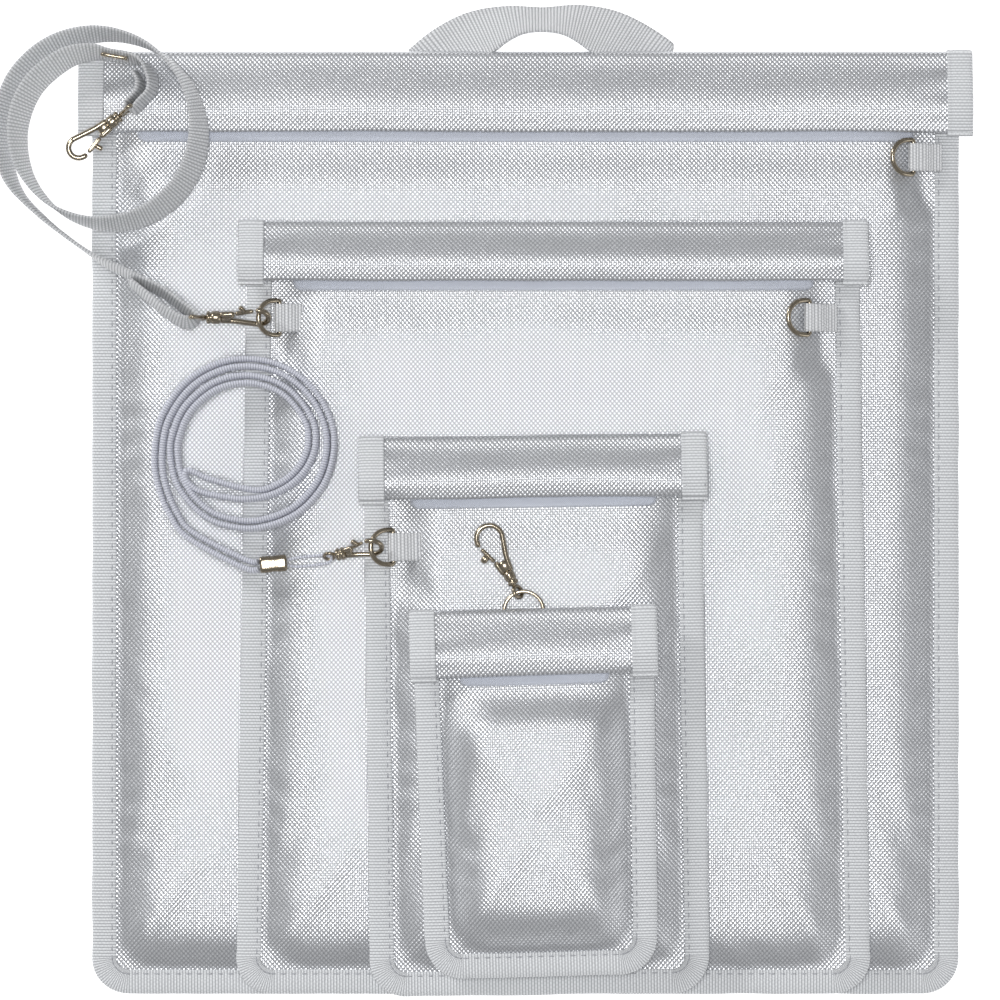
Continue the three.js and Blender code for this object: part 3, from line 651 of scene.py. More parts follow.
# %% The folded tape
STITCH_PITCH = 4.1
STITCH_INSET = BINDING_WIDTH - 1.6
TAPE_WIDTH = 22
tape_section = [  # (inset, height) from the upper inner edge, round the outside, to the lower one
    (BINDING_WIDTH, 3.0), (BINDING_WIDTH - 0.8, 3.32), (STITCH_INSET, 3.16), (STITCH_INSET - 1.2, 3.4),
    (5.2, 3.42), (3.0, 3.36), (1.2, 3.1), (0.35, 2.5), (0.25, 1.75),
    (0.35, 1.0), (1.2, 0.4), (3.0, 0.28), (6.0, 0.26), (BINDING_WIDTH, 0.3),
]


def along_section(section, t):
    """A point t of the way through a list of points."""
    place = t * (len(section) - 1)
    i = min(int(place), len(section) - 2)
    return [mix(a, b, place - i) for a, b in zip(section[i], section[i + 1])]


def binding(bag):
    """The bag's own edge tape. Returns the outline, which the stitches follow."""
    path = outline_path(bag)
    last = len(path) - 1

    def lay(u, v):
        x, y, nx, ny, run = path[round(v * last)]
        inset, z = along_section(tape_section, u)
        near_stitch = exp(-abs(inset - STITCH_INSET) / 1.2)
        lift = 0.12 * sin(run * tau / STITCH_PITCH) * near_stitch if z > 2 else 0
        edge = 0.35 * noise.noise(Vector((run * 0.06, 0, 1)) + bag.seed)
        return bag.place(x + nx * (inset + edge), y + ny * (inset + edge), z + lift)

    piece = laid_cloth(
        bag.name + "_edge_tape", (TAPE_WIDTH, path[-1][4]), 2 * (len(tape_section) - 1), last,
        lay, 0.4, edge_tape, rows=[point[-1] for point in path],
    )
    stands_for(piece, "edge_tape", bag.name + "_edge_binding")
    return path


# %% [markdown]
# ### Stitches
# A sewing machine leaves a short thread every few millimetres. They could be an array that
# follows a curve. Here each one is a small stretched ball, and a line of them shares one mesh, so
# that a seam stays a single light piece.

# %% Stitches
STITCH_LENGTH = 2.5
STITCH_WIDTH = 0.55


def stitch_line(name, spots, body):
    """spots are (place, direction) in metres, one for each stitch."""
    bm = bmesh.new()
    size = Matrix.Diagonal((STITCH_LENGTH * mm, STITCH_WIDTH * mm, STITCH_WIDTH * 0.8 * mm, 1))
    for place, direction in spots:
        made = bmesh.ops.create_icosphere(bm, subdivisions=1, radius=0.5)["verts"]
        turn = direction.to_track_quat("X", "Z").to_matrix().to_4x4()
        bmesh.ops.transform(bm, verts=made, matrix=Matrix.Translation(place) @ turn @ size)
    bm.loops.layers.uv.new("UVMap")
    piece = piece_from(bm, name, thread)
    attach(piece, body)


def spaced_along(path, pitch):
    """The places on a path of (..., run) points at every pitch, as (index, fraction)."""
    target, spots = pitch / 2, []
    for i in range(len(path) - 1):
        while path[i][-1] <= target < path[i + 1][-1]:
            spots.append((i, (target - path[i][-1]) / (path[i + 1][-1] - path[i][-1])))
            target += pitch
    return spots


def binding_stitches(bag, path):
    spots = []
    for i, part in spaced_along(path, STITCH_PITCH):
        x, y, nx, ny, _ = [mix(a, b, part) for a, b in zip(path[i], path[i + 1])]
        place = bag.place(x + nx * STITCH_INSET, y + ny * STITCH_INSET, 3.42)
        direction = bag.right * ny - bag.up * nx
        spots.append((place, direction))
    stitch_line(bag.name + "_edge_stitches", spots, bag.body)


for bag in bags:
    binding_stitches(bag, binding(bag))
print("bindings and stitches done")

# %% [markdown]
# ### Flaps
# The flap is the back panel's own cloth, carried round the fold and down over the mouth to a
# rolled hem. It bends between the bag's body and the flap's body, so that it opens as cloth
# does. Its sides are bound with the same tape, closed at the lower corners.

# %% The flap's section
HEM_RADIUS = 0.75
HEM_TOP = 9.75
FOLD_ROUND = 2.2  # radius of the cloth's turn
FOLD_FOOT = 2.35  # height of the cloth where it starts to turn
FLAP_PUFF = 2.5  # how far the flap stands up between the fold and the hem


def flap_arch(bag, y):
    """Height of the flap's middle between the fold and the hem."""
    start, hem = -FOLD_ROUND, -bag.flap + HEM_RADIUS
    t = min(max((start - y) / (start - hem), 0), 1)
    return mix(FOLD_FOOT + 2 * FOLD_ROUND, HEM_TOP, t) + FLAP_PUFF * sin(pi * t**1.6)


def flap_section(bag):
    """(y, z, distance run) from the back panel, round the fold, to the hem and a little way under."""
    points = [(-9.0, 1.75), (-6.5, 1.8), (-4.9, 2.0)]
    points += [
        (
            -FOLD_ROUND - 0.1 + FOLD_ROUND * cos(radians(a)),
            FOLD_FOOT + FOLD_ROUND * (1 + sin(radians(a))),
        )
        for a in range(-75, 79, 11)
    ]
    hem = -bag.flap + HEM_RADIUS
    start = points[-1][0]
    rows = ceil((start - hem) / 1.2)
    for i in range(1, rows):
        y = mix(start, hem, i / rows)
        points.append((y, flap_arch(bag, y) + 0.3 * exp(-((y - hem - 0.9) ** 2) / 0.8)))
    points += [
        (hem + HEM_RADIUS * cos(radians(a)) * 1.1, HEM_TOP - 0.45 + HEM_RADIUS * sin(radians(a)))
        for a in range(90, 271, 30)
    ]
    points += [(hem + 1.5, 8.55), (hem + 2.6, 8.7)]
    run = 0.0
    section = []
    for i, point in enumerate(points):
        if i:
            run += hypot(point[0] - points[i - 1][0], point[1] - points[i - 1][1])
        section.append((*point, run))
    return section


def across_section(section, i):
    """The unit normal of a section at point i, pointing out of the fold."""
    before, after = section[max(i - 1, 0)], section[min(i + 1, len(section) - 1)]
    dy, dz = after[0] - before[0], after[1] - before[1]
    length = hypot(dy, dz)
    return dz / length, -dy / length


def bends_at_fold(piece, bag):
    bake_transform(piece, bag.body, bag.flap_body, bag.place(0, -4, 2.4), bag.place(0, -4, 9.0))


def flap_cloth(bag):
    """The flap's cloth. Returns its section, which the tape on its sides follows."""
    section = flap_section(bag)
    last = len(section) - 1
    half = bag.flap_width / 2 - RAW_EDGE

    def lay(u, v):
        i = round(v * last)
        y, z, run = section[i]
        x = (2 * u - 1) * half
        over = ease((3.0 - y) / 12) if i > 4 else 0
        ny, nz = across_section(section, i)
        edge = min(half - abs(x), 40)
        ripple = 0.35 * noise.noise(Vector((x * 0.03, run * 0.06, 4)) + bag.seed)
        ripple += 0.3 * sin(run * 0.55 + x * 0.05) * exp(-max(edge - 9, 0) / 8) * over
        wave = 0.45 * noise.noise(Vector((x * 0.018, 0, 9)) + bag.seed) * over
        return bag.place(x, y + ny * ripple * over + wave, z + nz * ripple * over)

    piece = laid_cloth(
        bag.name + "_flap_cloth", (2 * half, section[-1][2]), round(half), last, lay, 0.5, silver_cloth,
        rows=[point[2] for point in section],
    )
    bends_at_fold(piece, bag)
    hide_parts(bag.name + "_flap")
    flat = (round(2 * half * mm, 4), round(section[-1][2] * mm, 4))
    print(piece.name, "is cut to", flat)
    return section


flap_tape_section = [  # (inset from the flap's side, height over the cloth's middle)
    (9.9, 0.55), (9.2, 0.8), (8.3, 0.62), (7.4, 0.8), (5.0, 0.84), (2.2, 0.8), (0.7, 0.6), (0.2, 0.0),
    (0.7, -0.6), (2.2, -0.75), (5.0, -0.75), (9.9, -0.6),
]
FLAP_STITCH = 8.3
# The tape closes over the hem in a few last rows: (distance past the hem, share of its thickness).
END_ROWS = ((0.5, 1.0), (1.1, 0.85), (1.5, 0.45), (1.55, 0.0))


def flap_binding(bag, section, side):
    """The tape on one side of the flap, from the fold to a closed end past the hem."""
    rows = [i for i, (y, z, _) in enumerate(section) if z > 5.4 or y > -4]
    rows = rows[: len(rows) - 5]
    first, last = rows[0], rows[-1]
    count = last - first + len(END_ROWS)

    def lay(u, v):
        step = round(v * count)
        i = min(first + step, last)
        y, z, run = section[i]
        ny, nz = across_section(section, i)
        scale = 1.0
        if step > last - first:
            beyond, scale = END_ROWS[step - (last - first) - 1]
            y, ny, nz = section[last][0] - beyond - 0.2, 0.0, 1.0
        inset, out = along_section(flap_tape_section, u)
        if out > 0:
            out += 0.08 * noise.noise(Vector((run * 0.2, inset * 0.3, side)) + bag.seed)
        x = side * (bag.flap_width / 2 - inset)
        return bag.place(x, y + ny * out * scale, z + nz * out * scale)

    name = "left" if side < 0 else "right"
    covered = section[first:last + 1]
    rows = [run for _, _, run in covered] + [section[last][2] + beyond for beyond, _ in END_ROWS]
    piece = laid_cloth(
        f"{bag.name}_flap_tape_{name}", (TAPE_WIDTH, section[last][2] - section[first][2]),
        2 * (len(flap_tape_section) - 1), count, lay, 0.35, edge_tape, rows=rows,
    )
    bends_at_fold(piece, bag)
    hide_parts(f"{bag.name}_flap_binding_{name}")
    x = side * (bag.flap_width / 2 - FLAP_STITCH)
    spots = []
    for i, part in spaced_along(covered, STITCH_PITCH):
        y, z, _ = [mix(a, b, part) for a, b in zip(section[first + i], section[first + i + 1])]
        ny, nz = across_section(section, first + i)
        spots.append((bag.place(x, y + ny * 0.85, z + nz * 0.85), bag.up * -nz + Vector((0, 0, ny))))
    end = section[last][0] + 1.2
    for inset in (2.2, 5.2):
        spots.append((bag.place(side * (bag.flap_width / 2 - inset), end, 10.6), bag.right))
    stitch_line(f"{bag.name}_flap_stitches_{name}", spots, bag.flap_body)

# %% [markdown]
# ### Hook and loop tape
# The loop tape is sewn to the front panel, and only its lower edge shows under the flap. The hook
# tape is sewn inside the flap. Both are thin strips with round corners, and they take their
# height from the cloth that they are sewn to, so they never float above it.

# %% Hook and loop tape
STRIP_WIDTH = 12
STRIP_CORNER = 3.0


def loop_height(bag, x, y):
    return max(swell(bag, x, y), EDGE_TOP + 0.4) + 0.4


def hook_height(bag, x, y):
    return min(8.7, flap_arch(bag, y) - 0.85)


def fastener(bag, kind, low, set_in, body, material, height):
    """A strip of hook or loop tape with rounded corners, set in from the binding at both ends."""
    half = bag.half(-MOUTH) - SEAM - set_in
    high = low + STRIP_WIDTH

    def lay(u, v):
        y = mix(low, high, v)
        near_end = max(STRIP_CORNER - min(y - low, high - y), 0)
        x = (2 * u - 1) * (half - STRIP_CORNER + (STRIP_CORNER**2 - near_end**2) ** 0.5)
        return bag.place(x, y, height(bag, x, y))

    piece = laid_cloth(
        f"{bag.name}_{kind}_strip", (2 * half, STRIP_WIDTH), round(half), 12, lay, 0.5, material,
    )
    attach(piece, body)
    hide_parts(f"{bag.name}_{kind}_tape")


for bag in bags:
    section = flap_cloth(bag)
    flap_binding(bag, section, -1)
    flap_binding(bag, section, 1)
    fastener(bag, "loop", -bag.flap - 4, 8, bag.body, loop_pile, loop_height)
    fastener(bag, "hook", -bag.flap + 3.3, SHOULDER, bag.flap_body, hook_pile, hook_height)
    print(bag.name, "flap: cloth, two bindings, loop tape and hook tape")

# %% [markdown]
# ## Tubes
# Wire, cord and strap are one kind of shape: an oval carried along a line. The tube keeps its
# tall axis near a chosen direction, so that a strap can stand on its edge and lean. A curve's own
# bevel twists where the line turns in space, which shows at once on something flat.

# %% Lines and tubes
def smooth_line(points, step):
    """A smooth line through the points, in places about a step apart."""
    padded_points = [points[0]] + list(points) + [points[-1]]
    line = []
    for i in range(1, len(padded_points) - 2):
        a, b, c, d = padded_points[i - 1:i + 3]
        count = max(1, ceil((c - b).length / step))
        for k in range(count):
            t = k / count
            line.append(
                0.5 * (2 * b + (c - a) * t + (2 * a - 5 * b + 4 * c - d) * t * t
                       + (3 * b - 3 * c + d - a) * t**3)
            )
    return line + [points[-1].copy()]


def line_length(line):
    return sum((b - a).length for a, b in zip(line, line[1:]))


def tube(name, line, tall, wide, upright, material, around=14, closed=False, power=2.0, capped=True):
    """An oval tube, tall by wide in mm. upright(i) is the direction its tall axis keeps near."""
    last = len(line) - 1
    run = [0.0]
    for a, b in zip(line, line[1:]):
        run.append(run[-1] + (b - a).length / mm)

    def lay(u, v):
        i = round(v * last)
        before, after = max(i - 1, 0), min(i + 1, last)
        tangent = line[after] - line[before]
        if closed and i in (0, last):
            tangent = line[1] - line[last - 1]
        tangent.normalize()
        up = upright(i)
        up = (up - tangent * up.dot(tangent)).normalized()
        side = tangent.cross(up)
        angle = tau * u
        c, s = cos(angle), sin(angle)
        flat = (abs(c) ** power + abs(s) ** power) ** (-1 / power)
        scale = 1.0
        if capped and not closed:
            reach = min(run[i], run[last] - run[i]) / (wide / 2)
            scale = (1 - (1 - min(reach, 1)) ** 2) ** 0.5 if reach < 1 else 1.0
        offset = up * (c * flat * tall / 2) + side * (s * flat * wide / 2)
        return line[i] + offset * (scale * mm)

    return laid_cloth(
        name, ((tall + wide) * 1.57, run[-1]), around, last, lay, 0, material, closed=True, rows=run,
    )


def capped_line(line, radius):
    """Adds a few close places at both ends of a line, so that its end can be round."""
    for _ in range(2):
        first, second = line[0], line[1]
        direction = (second - first).normalized()
        extra = [first + direction * (radius * part * mm) for part in (0, 0.08, 0.3, 0.62, 1.0)]
        rest = [p for p in line[1:] if (p - first).length > radius * 1.25 * mm]
        line = list(reversed(extra + rest))
    return line


def joined(name, pieces):
    """One piece made of several meshes."""
    bm = bmesh.new()
    for piece in pieces:
        bm.from_mesh(piece.data)
    made = piece_from(bm, name, pieces[0].data.materials[0])
    for piece in pieces:
        bpy.data.objects.remove(piece)
    return made


# %% [markdown]
# ## Rings and webbing tabs
# Each D-ring is one bent wire held by a doubled tab of webbing. The tab passes round the ring's
# straight bar and is sewn down at its far end. The ring's tilt comes from lying on the swelling
# panel, and the tab is one strip of cloth laid round the bar, with nothing cut or joined.

# %% D-rings
RING_WIRE = 1.9
RING_RADIUS = 6.6
RING_ARM = 2.6  # from the straight bar to the middle of the bow
BAR_HALF = 5.9
TAB_WIDTH = 10.8
WRAP_RADIUS = 1.62  # of the tab round the bar


def ring_line():
    """A D in its own plane: bar on x 0, bow towards -x."""
    points = [Vector((0, y, 0)) for y in (-BAR_HALF, -3, 0, 3, BAR_HALF)]
    points += [Vector((-0.7, RING_RADIUS, 0)), Vector((-RING_ARM, RING_RADIUS, 0))]
    points += [
        Vector((-RING_ARM - RING_RADIUS * sin(radians(a)), RING_RADIUS * cos(radians(a)), 0))
        for a in range(15, 180, 15)
    ]
    points += [Vector((-RING_ARM, -RING_RADIUS, 0)), Vector((-0.7, -RING_RADIUS, 0)), points[0]]
    return smooth_line(points, 0.7)


def tab_and_ring(bag, side, bar, lift):
    """bar is the middle of the ring's bar in metres, and lift its tilt in degrees."""
    name = f"{bag.name}_{side}"
    turn = Matrix(((bag.right.x, bag.up.x, 0), (bag.right.y, bag.up.y, 0), (0, 0, 1)))
    tilt = turn @ Matrix.Rotation(radians(lift), 3, "Y")
    line = [bar + tilt @ point * mm for point in ring_line()]
    normal = tilt @ Vector((0, 0, 1))
    ring = tube(
        name + "_d_ring", line, RING_WIRE, RING_WIRE, lambda i: normal, warm_plate, 16, closed=True,
    )
    stands_for(ring, "plated_metal", name + "_ring")

    low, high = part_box(name + "_tab")
    reach = (high[0] - bar.x) / mm - 0.4
    end = (low[2] - bar.z) / mm + 0.8
    wrapped = [
        (WRAP_RADIUS * cos(radians(a)), WRAP_RADIUS * sin(radians(a))) for a in range(-60, -301, -20)
    ]
    run = [(reach, end - 0.1), (reach * 0.7, end * 0.75 - 0.3)] + wrapped
    run += [(reach * 0.4, end * 0.2 + 1.25), (reach * 0.7, end * 0.75 + 0.75), (reach, end + 0.75)]
    run += [(reach + 0.45, end + 0.35)]
    path = smooth_line([Vector((x, 0, z)) for x, z in run], 0.6)
    last = len(path) - 1

    def lay(u, v):
        point = path[round(v * last)]
        across = (2 * u - 1) * TAB_WIDTH / 2
        return bar + turn @ Vector((point.x, across, point.z)) * mm

    tab = laid_cloth(name + "_webbing", (TAB_WIDTH, line_length(path)), 10, last, lay, 0.75, webbing)
    stands_for(tab, "webbing", name + "_tab")
    spots = [
        (bar + turn @ Vector((reach - 1.3, y, end + 1.25)) * mm, bag.up) for y in (-4, -1.3, 1.4, 4.1)
    ]
    stitch_line(name + "_tab_stitches", spots, bag.body)
    print(name, "tab and ring made")


tab_and_ring(by_name["large"], "right", Vector((150.0, 132.75, 7.83)) * mm, 26)
tab_and_ring(by_name["medium"], "right", Vector((109.26, 70.45, 19.23)) * mm, 26)
tab_and_ring(by_name["medium"], "left", Vector((-94.86, 70.45, 15.70)) * mm, 30)
tab_and_ring(by_name["small"], "left", Vector((-50.91, -17.90, 25.9)) * mm, 22)

# %% [markdown]
# ## Hooks
# A snap hook is drawn with its nose round the origin, pointing along x. The wire runs from the
# neck round the nose to the mouth, and the sprung gate closes the other side. The barrel at the
# back is a turned part, so it is a profile carried round the hook's axis, and the eye for the
# strap or the cord turns on its pin.

# %% A hook's place
NECK_HALF = 2.2  # half the hook's width at its neck
ROOT = 0.62  # how far back the gate is hinged, as a share of the shank
WIDENING = 0.32  # how much of the way from neck to nose the hook has widened there


class Hook:
    """A hook's place, turn and sizes. heading, roll and rise are in degrees, the rest in mm."""

    def __init__(self, place, heading, roll, rise, nose, wire, shank, barrel, barrel_length):
        self.place = Vector(place) * mm
        self.turn = (
            Matrix.Rotation(radians(heading), 3, "Z")
            @ Matrix.Rotation(-radians(rise), 3, "Y")
            @ Matrix.Rotation(radians(roll), 3, "X")
        )
        self.nose, self.wire, self.shank, self.barrel = nose, wire, shank, barrel
        self.back = -shank - barrel_length
        self.root = -shank * ROOT

    def rolled(self, roll):
        """The same hook turned about its own axis."""
        other = copy(self)
        other.turn = self.turn @ Matrix.Rotation(radians(roll), 3, "X")
        return other

    def wire_tube(self, name, points, radius, closed=False, step=0.8, tall=None):
        line = [p * mm for p in smooth_line([Vector(p) for p in points], step)]
        if not closed:
            line = capped_line(line, radius)
        line = [self.place + self.turn @ p for p in line]
        upright = self.turn @ Vector((0.05, 0.1, 1)).normalized()
        return tube(
            name, line, tall or 2 * radius, 2 * radius, lambda i: upright, warm_plate, 12,
            closed=closed,
        )

    def turned(self, name, profile):
        """A round part about the hook's axis, from (x, radius) places."""
        def lay(u, v):
            x, radius = along_section(profile, v)
            angle = tau * u
            spot = Vector((x, radius * cos(angle), radius * sin(angle)))
            return self.place + self.turn @ spot * mm

        rows = 3 * (len(profile) - 1)
        return laid_cloth(name, (10, 10), 24, rows, lay, 0, warm_plate, closed=True)


# %% Frames and gates
def hook_frame(hook, name, extras=()):
    """The fixed part: the wire round the nose, the plate at the neck and the swivel barrel."""
    w = hook.wire / 2 + 0.1
    radius = hook.nose - w
    neck = NECK_HALF - w * 0.6
    stub = mix(NECK_HALF, hook.nose, WIDENING) - w
    root, back, b = hook.root, hook.back, hook.barrel
    nose = [(radius * cos(radians(a)), radius * sin(radians(a)), 0) for a in range(-105, 106, 15)]
    side = [(-hook.shank, -neck, 0), (-hook.shank * 0.6, -neck - 0.25 * (radius - neck), 0)]
    barrel = [
        (back, 0.6), (back, b - 0.5), (back + 0.35, b - 0.1), (back + 1.0, b), (back + 1.4, b - 0.4),
        (back + 1.9, b - 0.45), (back + 2.3, b), (-hook.shank - 0.3, b), (-hook.shank + 0.5, b - 0.5),
        (-hook.shank + 0.9, 1.0), (-hook.shank + 0.9, 0.05),
    ]
    plate = [(-hook.shank - 0.2, 0, 0), (root - 0.6, 0, 0)]
    rivet = [(root - 0.5, stub * 0.8, -w - 0.35), (root - 0.5, stub * 0.8, w + 0.35)]
    pieces = [
        hook.wire_tube(name + "_wire", side + nose, w),
        hook.wire_tube(name + "_stub", [(-hook.shank, neck, 0), (root + 0.2, stub, 0)], w),
        hook.wire_tube(name + "_neck", plate, w * 2.4, tall=w * 2.3),
        hook.wire_tube(name + "_rivet", rivet, 0.75),
        hook.turned(name + "_barrel", barrel),
    ]
    return joined(name, pieces + list(extras))


def hook_gate(hook, name, knob):
    """The sprung bar that closes the hook, with the knob that a thumb pushes."""
    w = hook.wire / 2 - 0.1
    root, tip = hook.root + 0.3, -hook.nose * 0.3 - 0.3
    start = mix(NECK_HALF, hook.nose, WIDENING) - hook.wire / 2
    end = hook.nose * 0.94 - hook.wire / 2
    middle = (root + tip) / 2
    reach = hook.nose * 0.72
    stem = [(middle, reach - 0.6, 0), (middle - 1.5, reach + 2.6, 0)]
    pieces = [
        hook.wire_tube(name + "_bar", [(root, start, 0), (tip, end, 0)], w),
        hook.wire_tube(name + "_knob", stem, knob),
    ]
    return joined(name, pieces)


# %% Eyes
def strap_eye(hook, name, roll):
    """A wire frame for a flat strap, turned on the hook's axis."""
    near = hook.back - 1.2
    far = near - 4.6
    side = [(far, 3, 0), (far, 7.4, 0), (far + 0.6, 8.3, 0), (far + 1.5, 7.9, 0), (near - 1.0, 3.4, 0),
            (near, 2.0, 0)]
    mirrored = [(x, -y, 0) for x, y, _ in reversed(side)]
    outline = [mirrored[-2]] + [mirrored[-1]] + side + [(near, 0, 0)] + mirrored[:-1]
    rolled = hook.rolled(roll)
    pin = [(near - 0.8, 0.05), (near - 0.8, 1.2), (near + 0.2, 1.25), (near + 0.6, 0.95)]
    pieces = [
        rolled.wire_tube(name + "_ring", outline, 0.9, closed=True),
        rolled.turned(name + "_pin", pin + [(-hook.shank - 0.4, 0.9)]),
    ]
    return joined(name, pieces)


def round_eye(hook, name, radius, wire, roll):
    """A round wire eye, turned on the hook's axis."""
    middle = hook.back - 0.3 - wire / 2 - radius
    circle = [
        (middle + radius * cos(radians(a)), radius * sin(radians(a)), 0) for a in range(0, 361, 20)
    ]
    rolled = hook.rolled(roll)
    pin = [(hook.back - 0.9, 0.05), (hook.back - 0.9, 1.0), (-hook.shank - 0.4, 0.9)]
    pieces = [
        rolled.wire_tube(name + "_ring", circle, wire / 2, closed=True, step=0.5),
        rolled.turned(name + "_pin", pin),
    ]
    return joined(name, pieces)


# %% The four hooks
strap_hook = Hook((-102.83, 70.45, 20.30), 0, 50, 0, 5, 2, 15, 2.5, 5)
loose_hook = Hook((-172, 135.75, 20.6), 218, 0, 0, 5, 2, 15, 2.5, 5)
claw = Hook((-59.44, -18.02, 29.35), 12, 50, 15, 5.2, 1.7, 11, 2.5, 3)
key_clip = Hook((-13.91, -14.49, 34.17), 118, 0, 5, 6, 1.8, 15, 2.2, 5)


def fit_hook(hook, name, knob, eye):
    stands_for(hook_frame(hook, name + "_frame"), "plated_metal", name + "_body")
    stands_for(hook_gate(hook, name + "_catch", knob), "plated_metal", name + "_gate")
    stands_for(eye, "plated_metal", name + "_eye")
    print(name, "has a frame, a gate and an eye")


fit_hook(strap_hook, "strap_hook", 1.0, strap_eye(strap_hook, "strap_hook_buckle", 40))
fit_hook(loose_hook, "loose_hook", 1.0, strap_eye(loose_hook, "loose_hook_buckle", 90))
claw_frame = hook_frame(claw, "claw_frame", [round_eye(claw, "claw_ring", 1.9, 1.4, 0)])
stands_for(claw_frame, "plated_metal", "lanyard_claw_body")
stands_for(hook_gate(claw, "claw_lever", 1.0), "plated_metal", "lanyard_claw_lever")
fit_hook(key_clip, "key_clip", 1.4, round_eye(key_clip, "key_clip_ring", 2.2, 1.6, 50))

# %% [markdown]
# ### Split ring
# A split ring is flat wire wound round twice, each turn lying on the other. A torus would do from
# far away, but a wire that climbs by its own thickness keeps the double edge that catches light.
# The tiny bag holds it with a narrow tape under the fold.

# %% Split ring under the tiny bag's fold
tiny = by_name["tiny"]
SPLIT_RADIUS = 7.55
SPLIT_TALL, SPLIT_WIDE = 0.72, 1.4
SPLIT_TILT = radians(3)
ring_bar = Vector((-0.58, -49.89, 31.35)) * mm
split_middle = ring_bar + tiny.up * SPLIT_RADIUS * mm
coil_line = []
for a in range(0, 721, 12):
    angle = radians(a - 100)
    spot = tiny.right * cos(angle) + tiny.up * sin(angle) * cos(SPLIT_TILT)
    climb = (sin(angle) + 1) * SPLIT_RADIUS * sin(SPLIT_TILT) - 0.38 + 0.76 * a / 720
    coil_line.append(split_middle + (spot * SPLIT_RADIUS + Vector((0, 0, climb))) * mm)
split_ring = tube(
    "split_ring_wire", coil_line, SPLIT_TALL, SPLIT_WIDE, lambda i: Vector((0, 0, 1)), warm_plate, 12,
    power=3,
)
stands_for(split_ring, "plated_metal", "tiny_split_ring")

# %% Tab that holds the split ring
RING_TAB_WIDTH = 4
under = [(6.2, -1.1), (3.0, -1.15), (0.3, -1.2)]
under += [(-1.12 * cos(radians(a)), 1.12 * sin(radians(a))) for a in range(-80, 181, 20)]
under_path = smooth_line([Vector((0, -y, z)) for y, z in reversed(under)], 0.5)


def lay_ring_tab(u, v):
    point = under_path[round(v * (len(under_path) - 1))]
    across = tiny.right * (2 * u - 1) * RING_TAB_WIDTH / 2
    return ring_bar + (across + tiny.up * point.y + Vector((0, 0, point.z * 0.95))) * mm


ring_tab = laid_cloth(
    "ring_tab_tape", (RING_TAB_WIDTH, 12), 4, len(under_path) - 1, lay_ring_tab, 0.3, webbing,
)
stands_for(ring_tab, "webbing", "tiny_ring_tab")
print("split ring and its tab made")

# %% [markdown]
# ## Cords
# Both cords are free and drawn as they lie. Each is one long line: it starts where it leaves its
# hook, winds round its coil and ends at the other hook or back at the crimp. The strap stands on
# its edge and leans over, so its line's tall axis is tipped the same way all round the coil.

# %% Shoulder strap
STRAP_WIDTH = 15
STRAP_THICKNESS = 1.5
LEAD_END, COIL_START = 76, 101  # the y between which the strap passes from the bag to the coil
coil_middle = Vector((-163.0, 142.75, 0))


def polar(centre, angle, radius, z):
    return centre + Vector((radius * cos(radians(angle)), radius * sin(radians(angle)), z))


eye_bar = Vector((-128.63, 70.45, 20.3))
strap_points = [eye_bar + Vector(step) for step in (
    (-24.3, 14.4, -0.4), (-17.5, 8.6, 0), (-10.5, 2.8, 0), (-4, -1.3, 0), (-0.4, -1.75, 0),
    (1.7, 0, 0), (-0.2, 1.75, 0), (-4.5, 5.0, 0), (-11, 9.8, 0), (-18, 13.4, 0), (-26, 17.6, -0.4),
)]
strap_points += [
    Vector((-163.5, 92.4, 19.6)), Vector((-176.0, 101.0, 19.0)), Vector((-186.5, 109.5, 18.6)),
]
strap_points += [
    polar(coil_middle, angle, radius, 18.3)
    for angle, radius in (  # degrees, mm
        (216, 40.3), (200, 39.6), (180, 38.9), (150, 38.0), (120, 37.4), (90, 37.0), (60, 36.9),
        (30, 37.0), (0, 37.2), (-30, 37.2), (-60, 36.9), (-90, 36.2), (-120, 35.1), (-150, 33.8),
        (-180, 32.7), (-210, 31.8), (-240, 31.0), (-262, 30.4), (-280, 29.0),
    )
]
loose_bar = Vector((-151.67, 151.63, 19.6))
strap_points += [loose_bar + Vector(step) for step in (
    (3.6, 17.5, -0.6), (7.6, 12.0, -0.3), (7.6, 6.2, 0), (4.0, 2.0, 0), (0.8, -1.5, 0), (-1.6, 0.2, 0),
    (-0.4, 2.2, 0), (2.6, 5.6, 0), (3.2, 10.0, -0.2), (0.2, 14.6, -0.4),
)]
strap_line = smooth_line([point * mm for point in strap_points], 1.5 * mm)
strap_length = line_length(strap_line)
print("strap is", round(strap_length, 3), "m long")
coil_lean = Vector((-0.42, 0.30, 0.86))
eye_lean = Vector((-0.05, 0.30, 0.95))


def strap_upright(i):
    point = strap_line[i] / mm
    in_coil = ease((point.y - LEAD_END) / (COIL_START - LEAD_END))
    at_loose = ease((22 - (point.xy - loose_bar.xy).length) / 14)
    return eye_lean.lerp(coil_lean, in_coil).lerp(Vector((-0.15, 0.1, 0.98)), at_loose)


strap = tube(
    "shoulder_strap", strap_line, STRAP_WIDTH, STRAP_THICKNESS, strap_upright, webbing, 24, power=5,
)
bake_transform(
    strap, "medium_bag", "strap_coil",
    Vector((-150, LEAD_END, 20)) * mm, Vector((-150, COIL_START, 20)) * mm,
)
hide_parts("strap_coil", "strap_lead")

# %% [markdown]
# ### Strap slide
# The slide is a wire ladder that the strap is laced through, to set its length. It is the same
# tube as the rings: one closed frame and one bar across it, joined as a single piece.

# %% Strap slide
SLIDE_ANGLE = 80
SLIDE_WIRE = 1.6
slide_middle = polar(coil_middle, SLIDE_ANGLE, 28.3, 19.6) * mm
slide_along = Vector((-sin(radians(SLIDE_ANGLE)), cos(radians(SLIDE_ANGLE)), 0))
slide_up = Vector((0, 0, 1))
slide_normal = slide_along.cross(slide_up)


